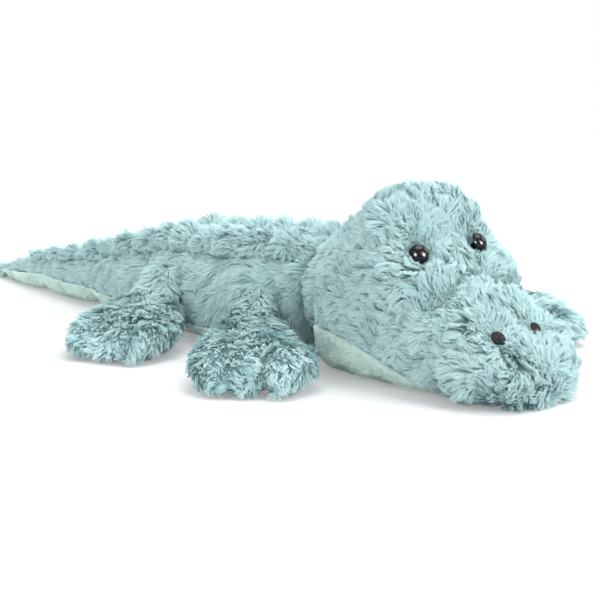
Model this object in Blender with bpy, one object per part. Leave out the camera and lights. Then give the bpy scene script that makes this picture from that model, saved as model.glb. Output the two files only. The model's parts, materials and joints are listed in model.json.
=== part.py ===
"""Plush crocodile lying on its belly, modelled in metres, +X to the nose, +Y to its left, +Z up.

The toy is a row of stuffed forms: head, neck, torso and three lengths of tail, with four legs.
Each form is a plush skin over the back and sides, a pale gusset under it, and fibre filling.
Where two forms bend on each other, one ends in a ball and the other in a cup about one point.
"""

from math import acos, asin, cos, pi, radians, sin, sqrt

import bmesh
import bpy
from mathutils import Matrix, Vector

# Overall sizes
TOY_LENGTH = 0.600
HEAD_LENGTH = 0.187
HEAD_HALF_WIDTH = 0.059
HEAD_HEIGHT = 0.134
HEAD_LEAN = 0.008
TORSO_HALF_WIDTH = 0.055
TORSO_HEIGHT = 0.087
TAIL_HALF_WIDTH = 0.046
TAIL_HEIGHT = 0.072

# Plush, gusset and the gaps between pieces
PILE_DEPTH = 0.008
GUSSET_DEPTH = 0.003
FLOOR_PRESS = 0.0025
SEAM_GAP = 0.0005
FILL_GAP = 0.0004
TURN_GAP = 0.0010
INSET_LIMIT_SHARE = 0.42
CAP_BULGE_SHARE = 0.25

# Neck ball and the bare band that it leaves between head and torso
NECK_RADIUS = 0.041
NECK_HEIGHT = 0.051
NECK_REACH = 0.013
NECK_BAND = 0.030
NECK_SKIN = 0.005
COLLAR_SETBACK = 0.026

# Legs: root ball, waist next to the seam, paw and toes
ROOT_RADIUS = 0.021
ROOT_HALF_WIDTH = 0.020
ROOT_HEIGHT = 0.038
ROOT_SIDE = 0.044
WAIST_HALF_HEIGHT = 0.0148
WAIST_HALF_WIDTH = 0.0164
WAIST_PLACE = 0.0145
EXIT_PLACE = 0.0175
EXIT_RISE = 0.0035
EXIT_GAP = 0.0038
PAW_HALF_WIDTH = 0.041
PAW_HEIGHT = 0.034
PAW_LENGTH = 0.036
TOE_LENGTH = 0.007
TOE_COUNT = 3
TOE_GROOVE_SHARE = 0.24
LEG_SKIN = 0.005
LEG_FILL_GAP = 0.0009
SHOULDER_X = 0.062
HIP_X = -0.034

# Tail joints: the ball on the rear piece, and how far the cup's rim stands in front of its middle
TAIL_SWING_X = -0.075
TAIL_LIFT_X = -0.150
TAIL_TIP_X = -0.222
SWING_SETBACK = 0.014
LIFT_SETBACK = 0.010
TIP_SETBACK = 0.007
BALL_INSET = 0.0015
BALL_RUN = 0.014
BALL_FRONT_SHARE = 0.62

# Back ridges
RIDGE_PITCH = 0.026
RIDGE_HEIGHT = 0.008
RIDGE_EDGE = 0.0016
RIDGE_HALF_WIDTH = 0.016
RIDGE_SIDE_SHARE = 0.50
VALLEY_SHARE = 0.35
RIDGE_END_GAP = 0.003
RIDGE_TIP_GAP = 0.045

# Eyes with their stems and washers, and stitched nostrils
EYE_X = 0.206
EYE_SIDE = 0.030
EYE_RADIUS = 0.0072
EYE_HEIGHT = 0.0058
EYE_SEAT = 0.0046
STEM_RADIUS = 0.0021
STEM_LENGTH = 0.0125
WASHER_RADIUS = 0.0075
WASHER_DEPTH = 0.0018
WASHER_LEVEL = 0.0078
NOSTRIL_X = 0.268
NOSTRIL_SIDE = 0.0185
NOSTRIL_LENGTH = 0.0060
NOSTRIL_WIDTH = 0.0046
NOSTRIL_DEPTH = 0.0026
NOSTRIL_SEAT = 0.0044
CUT_OVERRUN = 0.006

# Outlines from the rear of a form to its front, as shares of its length, half width and height:
# place, half width, top, height of the widest point; the last column is the roundness of the top
HEAD_OUTLINE_SHARES = (
    (0.00, 0.78, 0.715, 0.37, 2.15),
    (0.07, 0.90, 0.820, 0.37, 2.20),
    (0.18, 0.99, 0.920, 0.37, 2.40),
    (0.30, 1.00, 0.985, 0.37, 2.60),
    (0.39, 1.00, 0.975, 0.36, 3.00),
    (0.46, 0.99, 0.830, 0.35, 3.30),
    (0.50, 0.98, 0.725, 0.34, 3.20),
    (0.56, 0.95, 0.645, 0.31, 3.10),
    (0.62, 0.90, 0.580, 0.29, 3.00),
    (0.70, 0.82, 0.490, 0.26, 2.90),
    (0.77, 0.78, 0.405, 0.23, 2.90),
    (0.83, 0.75, 0.330, 0.20, 3.20),
    (0.90, 0.72, 0.290, 0.18, 2.80),
    (0.96, 0.58, 0.245, 0.16, 2.30),
    (1.00, 0.30, 0.185, 0.13, 2.00),
)
TORSO_OUTLINE_SHARES = (
    (0.00, 0.86, 0.830, 0.42, 2.20),
    (0.25, 0.96, 0.880, 0.42, 2.25),
    (0.50, 1.00, 0.920, 0.42, 2.25),
    (0.78, 0.93, 0.975, 0.43, 2.15),
    (1.00, 0.78, 1.000, 0.46, 2.05),
)
TAIL_OUTLINE_SHARES = (
    (0.00, 0.09, 0.120, 0.050, 2.00),
    (0.05, 0.17, 0.205, 0.080, 2.00),
    (0.12, 0.25, 0.295, 0.120, 2.05),
    (0.21, 0.33, 0.380, 0.160, 2.10),
    (0.33, 0.43, 0.460, 0.205, 2.15),
    (0.45, 0.53, 0.540, 0.245, 2.20),
    (0.64, 0.68, 0.680, 0.305, 2.20),
    (0.77, 0.80, 0.800, 0.360, 2.20),
    (0.87, 0.88, 0.905, 0.395, 2.20),
    (1.00, 1.00, 1.000, 0.430, 2.20),
)
BASE_ROUND_SHARE = 3.2
TAIL_BASE_ROUND_SHARE = 2.2

# Where the seam between plush and gusset lies: place, and turn below the widest point as a share
# of a right angle, so that -1 is the middle of the underside
JAW_SEAM_SHARES = (
    (0.00, -0.07), (0.15, -0.08), (0.34, -0.15), (0.50, -0.29), (0.67, -0.51), (0.80, -0.72), (0.90, -1.0),
)
BELLY_SEAM_SHARES = ((0.00, -0.30), (1.00, -0.34))
TAIL_SEAM_SHARES = (
    (0.02, -1.0), (0.08, -0.40), (0.15, -0.12), (0.33, -0.06), (0.53, -0.12), (0.70, -0.20), (1.00, -0.30),
)

# A leg's outline past its waist: share of its reach, share of the paw's length beyond that, then
# half width, half height and middle height as shares of the paw's
LEG_OUTLINE_SHARES = (
    (0.35, 0.0, 0.52, 0.88, 1.88),
    (0.60, 0.0, 0.84, 1.00, 1.34),
    (0.82, 0.0, 0.97, 1.02, 1.08),
    (1.00, 0.0, 1.00, 1.00, 1.00),
    (1.00, 0.5, 0.95, 0.90, 0.92),
    (1.00, 0.8, 0.86, 0.72, 0.76),
    (1.00, 1.0, 0.66, 0.36, 0.48),
)
LEG_ROUND_SHARE = 2.3

# Puffs that the filling raises, or a seam draws in, on each side of the head: place, side, height
# and reach as shares of its length, half width, height and length, then rise as a share of PUFF
HEAD_PUFF_SHARES = (
    (0.82, 0.66, 0.34, 0.09, 0.55),
    (0.50, 0.94, 0.42, 0.15, 0.40),
    (0.66, 0.66, 0.44, 0.10, -0.45),
)
PUFF = 0.008

# Steps in the meshes, and the small turns and distances that they are worked out with
WELD = 0.000001
SHARP_TURN = radians(50)
CLOSED_TURN = radians(0.01)
NORMAL_TURN = radians(4)
NORMAL_STEP = 0.002
SEAT_HALVINGS = 24
HEAD_STATIONS = (0.0, 0.08, 0.18, 0.28, 0.38, 0.45, 0.51, 0.57, 0.65, 0.73, 0.80, 0.87, 0.93, 0.97, 1.0)
JAW_STATIONS = (0.0, 0.08, 0.18, 0.28, 0.38, 0.45, 0.51, 0.57, 0.65, 0.73, 0.80, 0.87)
TORSO_STEPS = 10
TAIL_STEPS = 4
BALL_STEPS = 2
BAND_STEPS = 6
ARCH_COLUMNS = 14
GUSSET_COLUMNS = 6
LEG_TURN_SHARES = (0.0, 0.333, 0.667, 0.92)
LEG_ROOT_SHARES = (-0.55,)
LEG_WAIST_SHARES = (0.0, 0.55, 1.0)
LEG_REACH_SHARES = (0.36, 0.62, 1.0)
LEG_TOE_SHARES = (0.5, 0.85, 1.0)
BALL_SEGMENTS = 24
ROOT_SEGMENTS = 16
TRIM_SEGMENTS = 16
DOME_STEPS = 4
CORE_STEPS = 8
BUMP_STEPS = 4
RIDGE_COLUMNS = 3

# Where each form starts and ends along the toy
NOSE_X = TOY_LENGTH / 2
HEAD_REAR_X = NOSE_X - HEAD_LENGTH
NECK_X = HEAD_REAR_X + NECK_REACH
TORSO_FRONT_X = NECK_X - COLLAR_SETBACK
TORSO_REAR_X = TAIL_SWING_X + SWING_SETBACK
TAIL_END_X = -TOY_LENGTH / 2

NECK_CENTRE = Vector((NECK_X, 0, NECK_HEIGHT))

# Legs: name, root, side, reach from the root to the middle of the paw, heading away from the nose
LEG_REACH_FRONT_LEFT = 0.134
LEG_REACH_FRONT_RIGHT = 0.083
LEG_REACH_REAR = 0.061
LEGS = (
    ("front_left_leg", SHOULDER_X, 1, LEG_REACH_FRONT_LEFT, radians(44)),
    ("front_right_leg", SHOULDER_X, -1, LEG_REACH_FRONT_RIGHT, radians(48)),
    ("rear_left_leg", HIP_X, 1, LEG_REACH_REAR, radians(72)),
    ("rear_right_leg", HIP_X, -1, LEG_REACH_REAR, radians(70)),
)


def clear_scene():
    """Remove what the scene holds."""
    for item in list(bpy.data.objects):
        bpy.data.objects.remove(item, do_unlink=True)


def make_material(name, colour, roughness, metallic=0.0):
    """Make one Principled material."""
    material = bpy.data.materials.new(name)
    material.use_nodes = True
    shader = material.node_tree.nodes["Principled BSDF"]
    shader.inputs["Base Color"].default_value = (*colour, 1.0)
    shader.inputs["Roughness"].default_value = roughness
    shader.inputs["Metallic"].default_value = metallic
    material.diffuse_color = (*colour, 1.0)
    return material


def make_pivot(name, place):
    """Put an empty on a joint's axis, to carry the pieces that turn about it."""
    pivot = bpy.data.objects.new(name, None)
    pivot.location = place
    bpy.context.scene.collection.objects.link(pivot)
    return pivot


def make_object(name, points, faces, material, pivot=None):
    """Make an object from points in the toy's frame, welded and turned to face out."""
    origin = pivot.location if pivot else Vector()
    shape = bmesh.new()
    corners = [shape.verts.new(Vector(point) - origin) for point in points]
    for face in faces:
        shape.faces.new([corners[index] for index in face])
    bmesh.ops.remove_doubles(shape, verts=shape.verts, dist=WELD)
    bmesh.ops.recalc_face_normals(shape, faces=shape.faces)
    mesh = bpy.data.meshes.new(name)
    shape.to_mesh(mesh)
    shape.free()
    if material:
        mesh.materials.append(material)
    mesh.shade_smooth()
    mesh.set_sharp_from_angle(angle=SHARP_TURN)
    item = bpy.data.objects.new(name, mesh)
    item.parent = pivot
    bpy.context.scene.collection.objects.link(item)
    return item


def hide_cutter(item):
    """Mark an object as a cutter."""
    item.hide_render = True
    item.display_type = "WIRE"
    return item


def cut(item, cutter):
    """Take a cutter's shape out of an object."""
    step = item.modifiers.new("cut_" + cutter.name, "BOOLEAN")
    step.operation = "DIFFERENCE"
    step.object = cutter


def monotone_slopes(places, data):
    """Slopes for a cubic through the data that never overshoots a row."""
    steps = [(data[i + 1] - data[i]) / (places[i + 1] - places[i]) for i in range(len(places) - 1)]
    slopes = [steps[0]]
    for before, after in zip(steps, steps[1:]):
        slopes.append(2 * before * after / (before + after) if before * after > 0 else 0)
    slopes.append(steps[-1])
    return slopes


def eased_row(rows, place):
    """The values of a table of rows at a place between them."""
    places = [row[0] for row in rows]
    place = min(max(place, places[0]), places[-1])
    index = max(i for i in range(len(places) - 1) if places[i] <= place)
    span = places[index + 1] - places[index]
    t = (place - places[index]) / span
    values = []
    for column in range(1, len(rows[0])):
        data = [row[column] for row in rows]
        slopes = monotone_slopes(places, data)
        rise = (2 * t - 3) * t * t
        values.append(
            data[index] * (1 + rise) - data[index + 1] * rise
            + span * (slopes[index] * t * (1 - t) ** 2 - slopes[index + 1] * t * t * (1 - t))
        )
    return values


def rounded(value, power):
    """A cosine or sine drawn out or in by a roundness, with its sign kept."""
    return (1 if value >= 0 else -1) * abs(value) ** (2 / power)


class Form:
    """A stuffed shape along X. Angles run round it: 0 at its left, a quarter turn at its top."""

    def __init__(
        self, rear_x, front_x, half_width, height, rows, puffs=(), lean=0, ball=None, rounded_front=False,
        round_base=BASE_ROUND_SHARE,
    ):
        self.rear_x = rear_x
        self.front_x = front_x
        self.half_width = half_width
        self.height = height
        self.rows = rows
        self.puffs = puffs
        self.lean = lean
        self.ball = ball
        self.rounded_front = rounded_front
        self.round_base = round_base

    def share(self, x):
        """Place of x along the form, 0 at its rear and 1 at its front."""
        return (x - self.rear_x) / (self.front_x - self.rear_x)

    def section(self, x):
        """Half width, top, underside, widest height and the two roundnesses at x."""
        width_share, top_share, widest_share, round_top = eased_row(self.rows, self.share(x))
        own = [
            self.half_width * width_share, self.height * top_share, -FLOOR_PRESS,
            self.height * widest_share, round_top, self.round_base,
        ]
        if self.ball is None or x < self.ball.x - BALL_RUN:
            return own
        round_end = self.ball.section(max(x, self.ball.x))
        mix = min(1, (x - self.ball.x + BALL_RUN) / BALL_RUN)
        return [a + (b - a) * mix for a, b in zip(own, round_end)]

    def raised(self, point):
        """How far the puffs lift the surface at a point."""
        total = 0
        for place, side, level, reach, rise in self.puffs:
            centre = Vector((
                self.rear_x + (self.front_x - self.rear_x) * place,
                self.half_width * side,
                self.height * level,
            ))
            away = (Vector((point.x, abs(point.y), point.z)) - centre).length
            total += PUFF * rise * 2 ** (-((away / (reach * (self.front_x - self.rear_x))) ** 2))
        return total

    def point(self, x, angle, depth=0, base_depth=0, gap=0):
        """A point of the surface, or of one drawn in by the depths, pressed flat on the floor."""
        half_width, top, base, widest, round_top, round_base = self.section(x)
        limit = INSET_LIMIT_SHARE * min(half_width, (top - base) / 2)
        inset = min(depth, limit) + gap
        base_inset = min(base_depth, limit) + gap
        floor = base_inset
        half_width -= inset
        top -= inset
        base += base_inset
        side = cos(angle)
        level = sin(angle)
        power = round_top if level >= 0 else round_base
        rise = top - widest if level >= 0 else widest - base
        place = Vector((x, half_width * rounded(side, power), widest + rise * rounded(level, power)))
        if self.puffs:
            out = Vector((0, side, level)).normalized()
            place += out * self.raised(place)
        place.z = max(place.z, floor if self.ball is None or x < self.ball.x else 0)
        share = self.share(x)
        place.x += self.lean * max(0, 1 - share) ** 3 * abs(side)
        if self.rounded_front:
            place.x -= inset * max(0, 2 * share - 1) ** 3
        return place

    def seat(self, x, side):
        """Where the upper surface reaches a side distance, with the direction out of it."""
        low, high = 0, pi / 2
        for _ in range(SEAT_HALVINGS):
            angle = (low + high) / 2
            if self.point(x, angle).y > abs(side):
                low = angle
            else:
                high = angle
        along = self.point(x + NORMAL_STEP, angle) - self.point(x - NORMAL_STEP, angle)
        across = self.point(x, angle + NORMAL_TURN) - self.point(x, angle - NORMAL_TURN)
        out = across.cross(along).normalized()
        place = self.point(x, angle)
        if side < 0:
            place.y, out.y = -place.y, -out.y
        return place, out


class Ball:
    """The round end of a tail piece, turned about its joint's axis through its middle."""

    def __init__(self, x, level, half_length, half_width, half_height):
        self.x = x
        self.level = level
        self.half_length = half_length
        self.half_width = half_width
        self.half_height = half_height

    def section(self, x):
        """The section of the ball at x, in the order that Form.section gives."""
        fall = sqrt(max(0, 1 - ((x - self.x) / self.half_length) ** 2))
        top = self.level + self.half_height * fall
        base = self.level - self.half_height * fall
        return [self.half_width * fall, top, base, self.level, 2, 2]

    def cutter(self, name, gap):
        """A cutter for the cup that takes this ball."""
        sizes = Vector((self.half_length + gap, self.half_width + gap, self.half_height + gap))
        return ball_cutter(name, Vector((self.x, 0, self.level)), sizes, BALL_SEGMENTS)


def ball_cutter(name, centre, sizes, segments, heading=0):
    """A stretched ball that cuts a cup, with its poles across its first size."""
    shape = bmesh.new()
    bmesh.ops.create_uvsphere(shape, u_segments=segments, v_segments=segments // 2, radius=1)
    place = Matrix.Translation(centre) @ Matrix.Rotation(heading, 4, "Z") @ Matrix.Diagonal((*sizes, 1))
    shape.transform(place @ Matrix.Rotation(pi / 2, 4, "Y"))
    mesh = bpy.data.meshes.new(name)
    shape.to_mesh(mesh)
    shape.free()
    item = bpy.data.objects.new(name, mesh)
    bpy.context.scene.collection.objects.link(item)
    return hide_cutter(item)


def halves(a, b, c, d):
    """Two triangles of a four-sided face, always split from its first corner."""
    return [(a, b, c), (a, c, d)]


def wall_faces(rings, columns, closed, cap_end):
    """Faces of a thick patch: the outer and inner grids, their rims, and a cap or a rim at the end."""
    faces = []
    layer = rings * columns
    for ring in range(rings - 1):
        for column in range(columns - 1):
            a = ring * columns + column
            outer = halves(a, a + 1, a + columns + 1, a + columns)
            faces += outer
            faces += [tuple(layer + index for index in reversed(face)) for face in outer]
        if closed[ring] and closed[ring + 1]:
            continue
        for column in (0, columns - 1):
            a = ring * columns + column
            faces += halves(a, a + columns, layer + a + columns, layer + a)
    ends = [0] if cap_end else [0, rings - 1]
    for ring in ends:
        for column in range(columns - 1):
            a = ring * columns + column
            rim = (a, layer + a, layer + a + 1, a + 1)
            faces.append(rim if ring == 0 else rim[::-1])
    if cap_end:
        for offset, hub in ((0, 2 * layer), (layer, 2 * layer + 1)):
            for column in range(columns - 1):
                a = offset + (rings - 1) * columns + column
                fan = (a, a + 1, hub)
                faces.append(fan if offset == 0 else fan[::-1])
    return faces


def end_hub(ring, before):
    """The middle of a cap, a little past its last ring."""
    middle = sum(ring, Vector()) / len(ring)
    step = middle - sum(before, Vector()) / len(before)
    return middle + step.normalized() * (ring[0] - middle).length * CAP_BULGE_SHARE


def make_patch(name, outer_rings, inner_rings, closed, cap_end, material, pivot):
    """Make a thick skin from matching outer and inner rings of points."""
    columns = len(outer_rings[0])
    points = [point for ring in outer_rings + inner_rings for point in ring]
    if cap_end:
        points.append(end_hub(outer_rings[-1], outer_rings[-2]))
        points.append(end_hub(inner_rings[-1], inner_rings[-2]))
    faces = wall_faces(len(outer_rings), columns, closed, cap_end)
    return make_object(name, points, faces, material, pivot)


def make_solid(name, rings, material, pivot):
    """Make a closed solid from rings of points that don't repeat their first, with a cap at each end."""
    columns = len(rings[0])
    points = [point for ring in rings for point in ring]
    points.append(end_hub(rings[0], rings[1]))
    points.append(end_hub(rings[-1], rings[-2]))
    faces = []
    for column in range(columns):
        after = (column + 1) % columns
        for ring in range(len(rings) - 1):
            a = ring * columns
            faces += halves(a + column, a + after, a + columns + after, a + columns + column)
        faces.append((after, column, len(points) - 2))
        last = (len(rings) - 1) * columns
        faces.append((last + column, last + after, len(points) - 1))
    return make_object(name, points, faces, material, pivot)


def arch_turns(form, seams, x):
    """Angles of the skin's columns at x, from one seam over the back to the other."""
    seam = eased_row(seams, form.share(x))[0] * pi / 2
    return [seam + (pi - 2 * seam) * i / ARCH_COLUMNS for i in range(ARCH_COLUMNS + 1)]


def gusset_turns(form, seams, x):
    """Angles of the gusset's columns at x, a seam's gap inside the skin's edges."""
    gap = SEAM_GAP / form.section(x)[0]
    seam = eased_row(seams, form.share(x))[0] * pi / 2 - 2 * gap
    seam = max(seam, gap - pi / 2)
    return [pi - seam + (pi + 2 * seam) * i / GUSSET_COLUMNS for i in range(GUSSET_COLUMNS + 1)]


def form_skin(name, form, stations, seams, material, pivot, cap_end=False):
    """The plush skin of a form, from the seam on one side over the back to the other."""
    outer, inner, closed = [], [], []
    for x in stations:
        turns = arch_turns(form, seams, x)
        closed.append(turns[-1] - turns[0] > 2 * pi - CLOSED_TURN)
        outer.append([form.point(x, turn) for turn in turns])
        inner.append([form.point(x, turn, PILE_DEPTH, GUSSET_DEPTH) for turn in turns])
    return make_patch(name, outer, inner, closed, cap_end, material, pivot)


def form_gusset(name, form, stations, seams, material, pivot):
    """The pale gusset under a form, between its two seams."""
    rows = [(x, gusset_turns(form, seams, x)) for x in stations]
    outer = [[form.point(x, turn) for turn in turns] for x, turns in rows]
    inner = [[form.point(x, turn, PILE_DEPTH, GUSSET_DEPTH) for turn in turns] for x, turns in rows]
    return make_patch(name, outer, inner, [False] * len(rows), False, material, pivot)


def form_filling(name, form, stations, seams, material, pivot, skip=2):
    """The fibre filling inside a form, on some of the columns of its skin and gusset."""
    rings = []
    for x in stations:
        turns = arch_turns(form, seams, x)[:-1:skip] + gusset_turns(form, seams, x)[::skip]
        rings.append([form.point(x, turn, PILE_DEPTH, GUSSET_DEPTH, FILL_GAP) for turn in turns])
    return make_solid(name, rings, material, pivot)


def spread(start, end, steps):
    """Evenly spaced places from start to end."""
    return [start + (end - start) * i / steps for i in range(steps + 1)]


def make_lathe(name, profile, segments, frame, material, pivot, squash=1):
    """Turn a profile of radius and height about the frame's Z, closed on the axis where it starts there."""
    points = []
    rings = []
    for radius, level in profile:
        if radius == 0:
            rings.append([len(points)] * segments)
            points.append(frame @ Vector((0, 0, level)))
            continue
        rings.append([len(points) + i for i in range(segments)])
        for i in range(segments):
            turn = 2 * pi * i / segments
            points.append(frame @ Vector((radius * cos(turn), radius * squash * sin(turn), level)))
    if profile[0][0] != 0:
        rings.append(rings[0])
    faces = []
    for low, high in zip(rings, rings[1:]):
        for i in range(segments):
            after = (i + 1) % segments
            corners = [low[i], low[after], high[after], high[i]]
            faces.append(list(dict.fromkeys(corners)))
    return make_object(name, points, faces, material, pivot)


def facing_frame(place, out, side):
    """A frame at a place with Z out of the surface and X level across it."""
    across = Vector((0, 0, 1)).cross(out).normalized()
    up = out.cross(across)
    frame = Matrix((across, up, out)).transposed().to_4x4()
    frame.translation = place
    return frame @ Matrix.Rotation(side, 4, "Z")


def make_head(plush, pale, fibre, gloss, nylon, thread, pivot):
    """The head: skin, jaw gusset, filling, two eyes with washers, and two nostrils."""
    form = Form(
        HEAD_REAR_X, NOSE_X, HEAD_HALF_WIDTH, HEAD_HEIGHT, HEAD_OUTLINE_SHARES,
        puffs=HEAD_PUFF_SHARES, lean=HEAD_LEAN, rounded_front=True,
    )
    stations = [HEAD_REAR_X + HEAD_LENGTH * share for share in HEAD_STATIONS]
    jaw_stations = [HEAD_REAR_X + HEAD_LENGTH * share for share in JAW_STATIONS]
    skin = form_skin("head_skin", form, stations, JAW_SEAM_SHARES, plush, pivot, cap_end=True)
    gusset = form_gusset("jaw_gusset", form, jaw_stations, JAW_SEAM_SHARES, pale, pivot)
    filling = form_filling("head_filling", form, stations, JAW_SEAM_SHARES, fibre, pivot, skip=1)
    ball = ball_cutter(
        "neck_cup_head", NECK_CENTRE, Vector([NECK_RADIUS + TURN_GAP] * 3), BALL_SEGMENTS,
    )
    for piece in (skin, gusset, filling):
        cut(piece, ball)
    for side, word in ((1, "left"), (-1, "right")):
        place, out = form.seat(EYE_X, side * EYE_SIDE)
        frame = facing_frame(place, out, 0)
        make_eye(word, frame, gloss, nylon, pivot)
        hole = eye_cutter(word, frame, pivot)
        cut(skin, hole)
        cut(filling, hole)
        place, out = form.seat(NOSTRIL_X, side * NOSTRIL_SIDE)
        frame = facing_frame(place, out, 0)
        cut(skin, make_nostril(word, frame, thread, pivot))


def make_eye(word, frame, gloss, nylon, pivot):
    """A safety eye: a domed button with a stem, and the washer that locks it inside the skin."""
    dome = [(EYE_RADIUS * sin(t), EYE_HEIGHT * cos(t)) for t in spread(0, pi / 2, DOME_STEPS)]
    floor = FILL_GAP - EYE_SEAT
    profile = [(radius, level + floor) for radius, level in dome]
    profile[0] = (0, profile[0][1])
    foot = floor - STEM_LENGTH
    profile += [(STEM_RADIUS, floor), (STEM_RADIUS, foot), (0, foot)]
    make_lathe("eye_" + word, profile, TRIM_SEGMENTS, frame, gloss, pivot)
    bore = STEM_RADIUS + FILL_GAP
    top = -WASHER_LEVEL - FILL_GAP
    ring = [(bore, top), (WASHER_RADIUS, top), (WASHER_RADIUS, top - WASHER_DEPTH), (bore, top - WASHER_DEPTH)]
    make_lathe("eye_washer_" + word, ring, TRIM_SEGMENTS, frame, nylon, pivot)


def eye_cutter(word, frame, pivot):
    """The seat in the pile, the stem's hole and the pocket for the washer, as one cutter."""
    seat = EYE_RADIUS + FILL_GAP
    stem = STEM_RADIUS + FILL_GAP
    pocket = WASHER_RADIUS + FILL_GAP
    foot = -EYE_SEAT - STEM_LENGTH - FILL_GAP
    profile = [
        (0, CUT_OVERRUN), (seat, CUT_OVERRUN), (seat, -EYE_SEAT), (stem, -EYE_SEAT),
        (stem, -WASHER_LEVEL), (pocket, -WASHER_LEVEL), (pocket, foot), (0, foot),
    ]
    return hide_cutter(make_lathe("eye_hole_" + word, profile, TRIM_SEGMENTS, frame, None, pivot))


def make_nostril(word, frame, thread, pivot):
    """A stitched oval in a shallow seat of the pile. The seat's cutter is returned."""
    floor = FILL_GAP - NOSTRIL_SEAT
    dome = [(NOSTRIL_LENGTH * sin(t), NOSTRIL_DEPTH * cos(t)) for t in spread(0, pi / 2, DOME_STEPS)]
    profile = [(radius, level + floor) for radius, level in dome] + [(0, floor)]
    profile[0] = (0, profile[0][1])
    squash = NOSTRIL_WIDTH / NOSTRIL_LENGTH
    make_lathe("nostril_" + word, profile, TRIM_SEGMENTS, frame, thread, pivot, squash)
    seat = NOSTRIL_LENGTH + FILL_GAP
    hole = [(0, CUT_OVERRUN), (seat, CUT_OVERRUN), (seat, -NOSTRIL_SEAT), (0, -NOSTRIL_SEAT)]
    wide = (NOSTRIL_WIDTH + FILL_GAP) / seat
    name = "nostril_seat_" + word
    return hide_cutter(make_lathe(name, hole, TRIM_SEGMENTS, frame, None, pivot, wide))


def make_neck(plush, fibre, pivot):
    """The neck: a plush band round a ball of filling, which head and torso cup from both sides."""
    frame = Matrix.Translation(NECK_CENTRE) @ Matrix.Rotation(pi / 2, 4, "Y")
    edge = asin(NECK_BAND / NECK_RADIUS)
    inner_radius = NECK_RADIUS - NECK_SKIN
    inner_edge = asin(NECK_BAND / inner_radius)
    band = [(NECK_RADIUS * cos(t), NECK_RADIUS * sin(t)) for t in spread(-edge, edge, BAND_STEPS)]
    band += [(inner_radius * cos(t), inner_radius * sin(t)) for t in spread(inner_edge, -inner_edge, BAND_STEPS)]
    make_lathe("neck_skin", band, BALL_SEGMENTS, frame, plush, pivot)
    flat_share = cos(inner_edge / BAND_STEPS) * cos(pi / BALL_SEGMENTS)
    radius = inner_radius * flat_share - FILL_GAP
    core = [(radius * sin(t), radius * cos(t)) for t in spread(0, pi, CORE_STEPS)]
    core[0] = (0, radius)
    core[-1] = (0, -radius)
    make_lathe("neck_filling", core, ROOT_SEGMENTS, frame, fibre, pivot)


def torso_form():
    """The shape of the torso."""
    return Form(TORSO_REAR_X, TORSO_FRONT_X, TORSO_HALF_WIDTH, TORSO_HEIGHT, TORSO_OUTLINE_SHARES)


def tail_form(ball=None):
    """The shape of the whole tail, with the round front end of one of its pieces."""
    return Form(
        TAIL_END_X, TAIL_SWING_X + SWING_SETBACK, TAIL_HALF_WIDTH, TAIL_HEIGHT, TAIL_OUTLINE_SHARES, ball=ball,
        round_base=TAIL_BASE_ROUND_SHARE,
    )


def tail_ball(x, upright):
    """The ball on the front of the tail piece that starts at x, round about an upright or a level axis."""
    half_width, top, base, *_ = tail_form().section(x)
    half_height = top / 2 - BALL_INSET
    half_width -= BALL_INSET
    half_length = half_width if upright else half_height
    return Ball(x, top / 2, half_length, half_width, half_height)


def make_torso(plush, pale, fibre, swing_ball):
    """The torso: skin, belly gusset, filling and the two back ridges."""
    form = torso_form()
    stations = spread(TORSO_REAR_X, TORSO_FRONT_X, TORSO_STEPS)
    skin = form_skin("torso_skin", form, stations, BELLY_SEAM_SHARES, plush, None)
    gusset = form_gusset("belly_gusset", form, stations, BELLY_SEAM_SHARES, pale, None)
    filling = form_filling("torso_filling", form, stations, BELLY_SEAM_SHARES, fibre, None)
    cups = [
        ball_cutter("neck_cup_torso", NECK_CENTRE, Vector([NECK_RADIUS + TURN_GAP] * 3), BALL_SEGMENTS),
        swing_ball.cutter("swing_cup", TURN_GAP),
    ]
    exits = []
    for leg, root_x, side, _, heading in LEGS:
        ball = Vector((ROOT_RADIUS, ROOT_HALF_WIDTH, ROOT_RADIUS))
        root = Vector((root_x, side * ROOT_SIDE, ROOT_HEIGHT))
        waist = root + Vector((cos(heading), side * sin(heading), 0)) * EXIT_PLACE
        waist.z += EXIT_RISE
        for place, room, where, word in ((root, TURN_GAP, cups, "_cup"), (waist, EXIT_GAP, exits, "_exit")):
            sizes = ball + Vector([room] * 3)
            where.append(ball_cutter(leg + word, place, sizes, ROOT_SEGMENTS, side * heading))
    for cup in cups:
        for piece in (skin, gusset, filling):
            cut(piece, cup)
    for exit_cut in exits:
        cut(skin, exit_cut)
    for side, word in ((1, "left"), (-1, "right")):
        make_ridge("torso_ridge_" + word, form, TORSO_REAR_X, TORSO_FRONT_X, side, plush, None)


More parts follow.
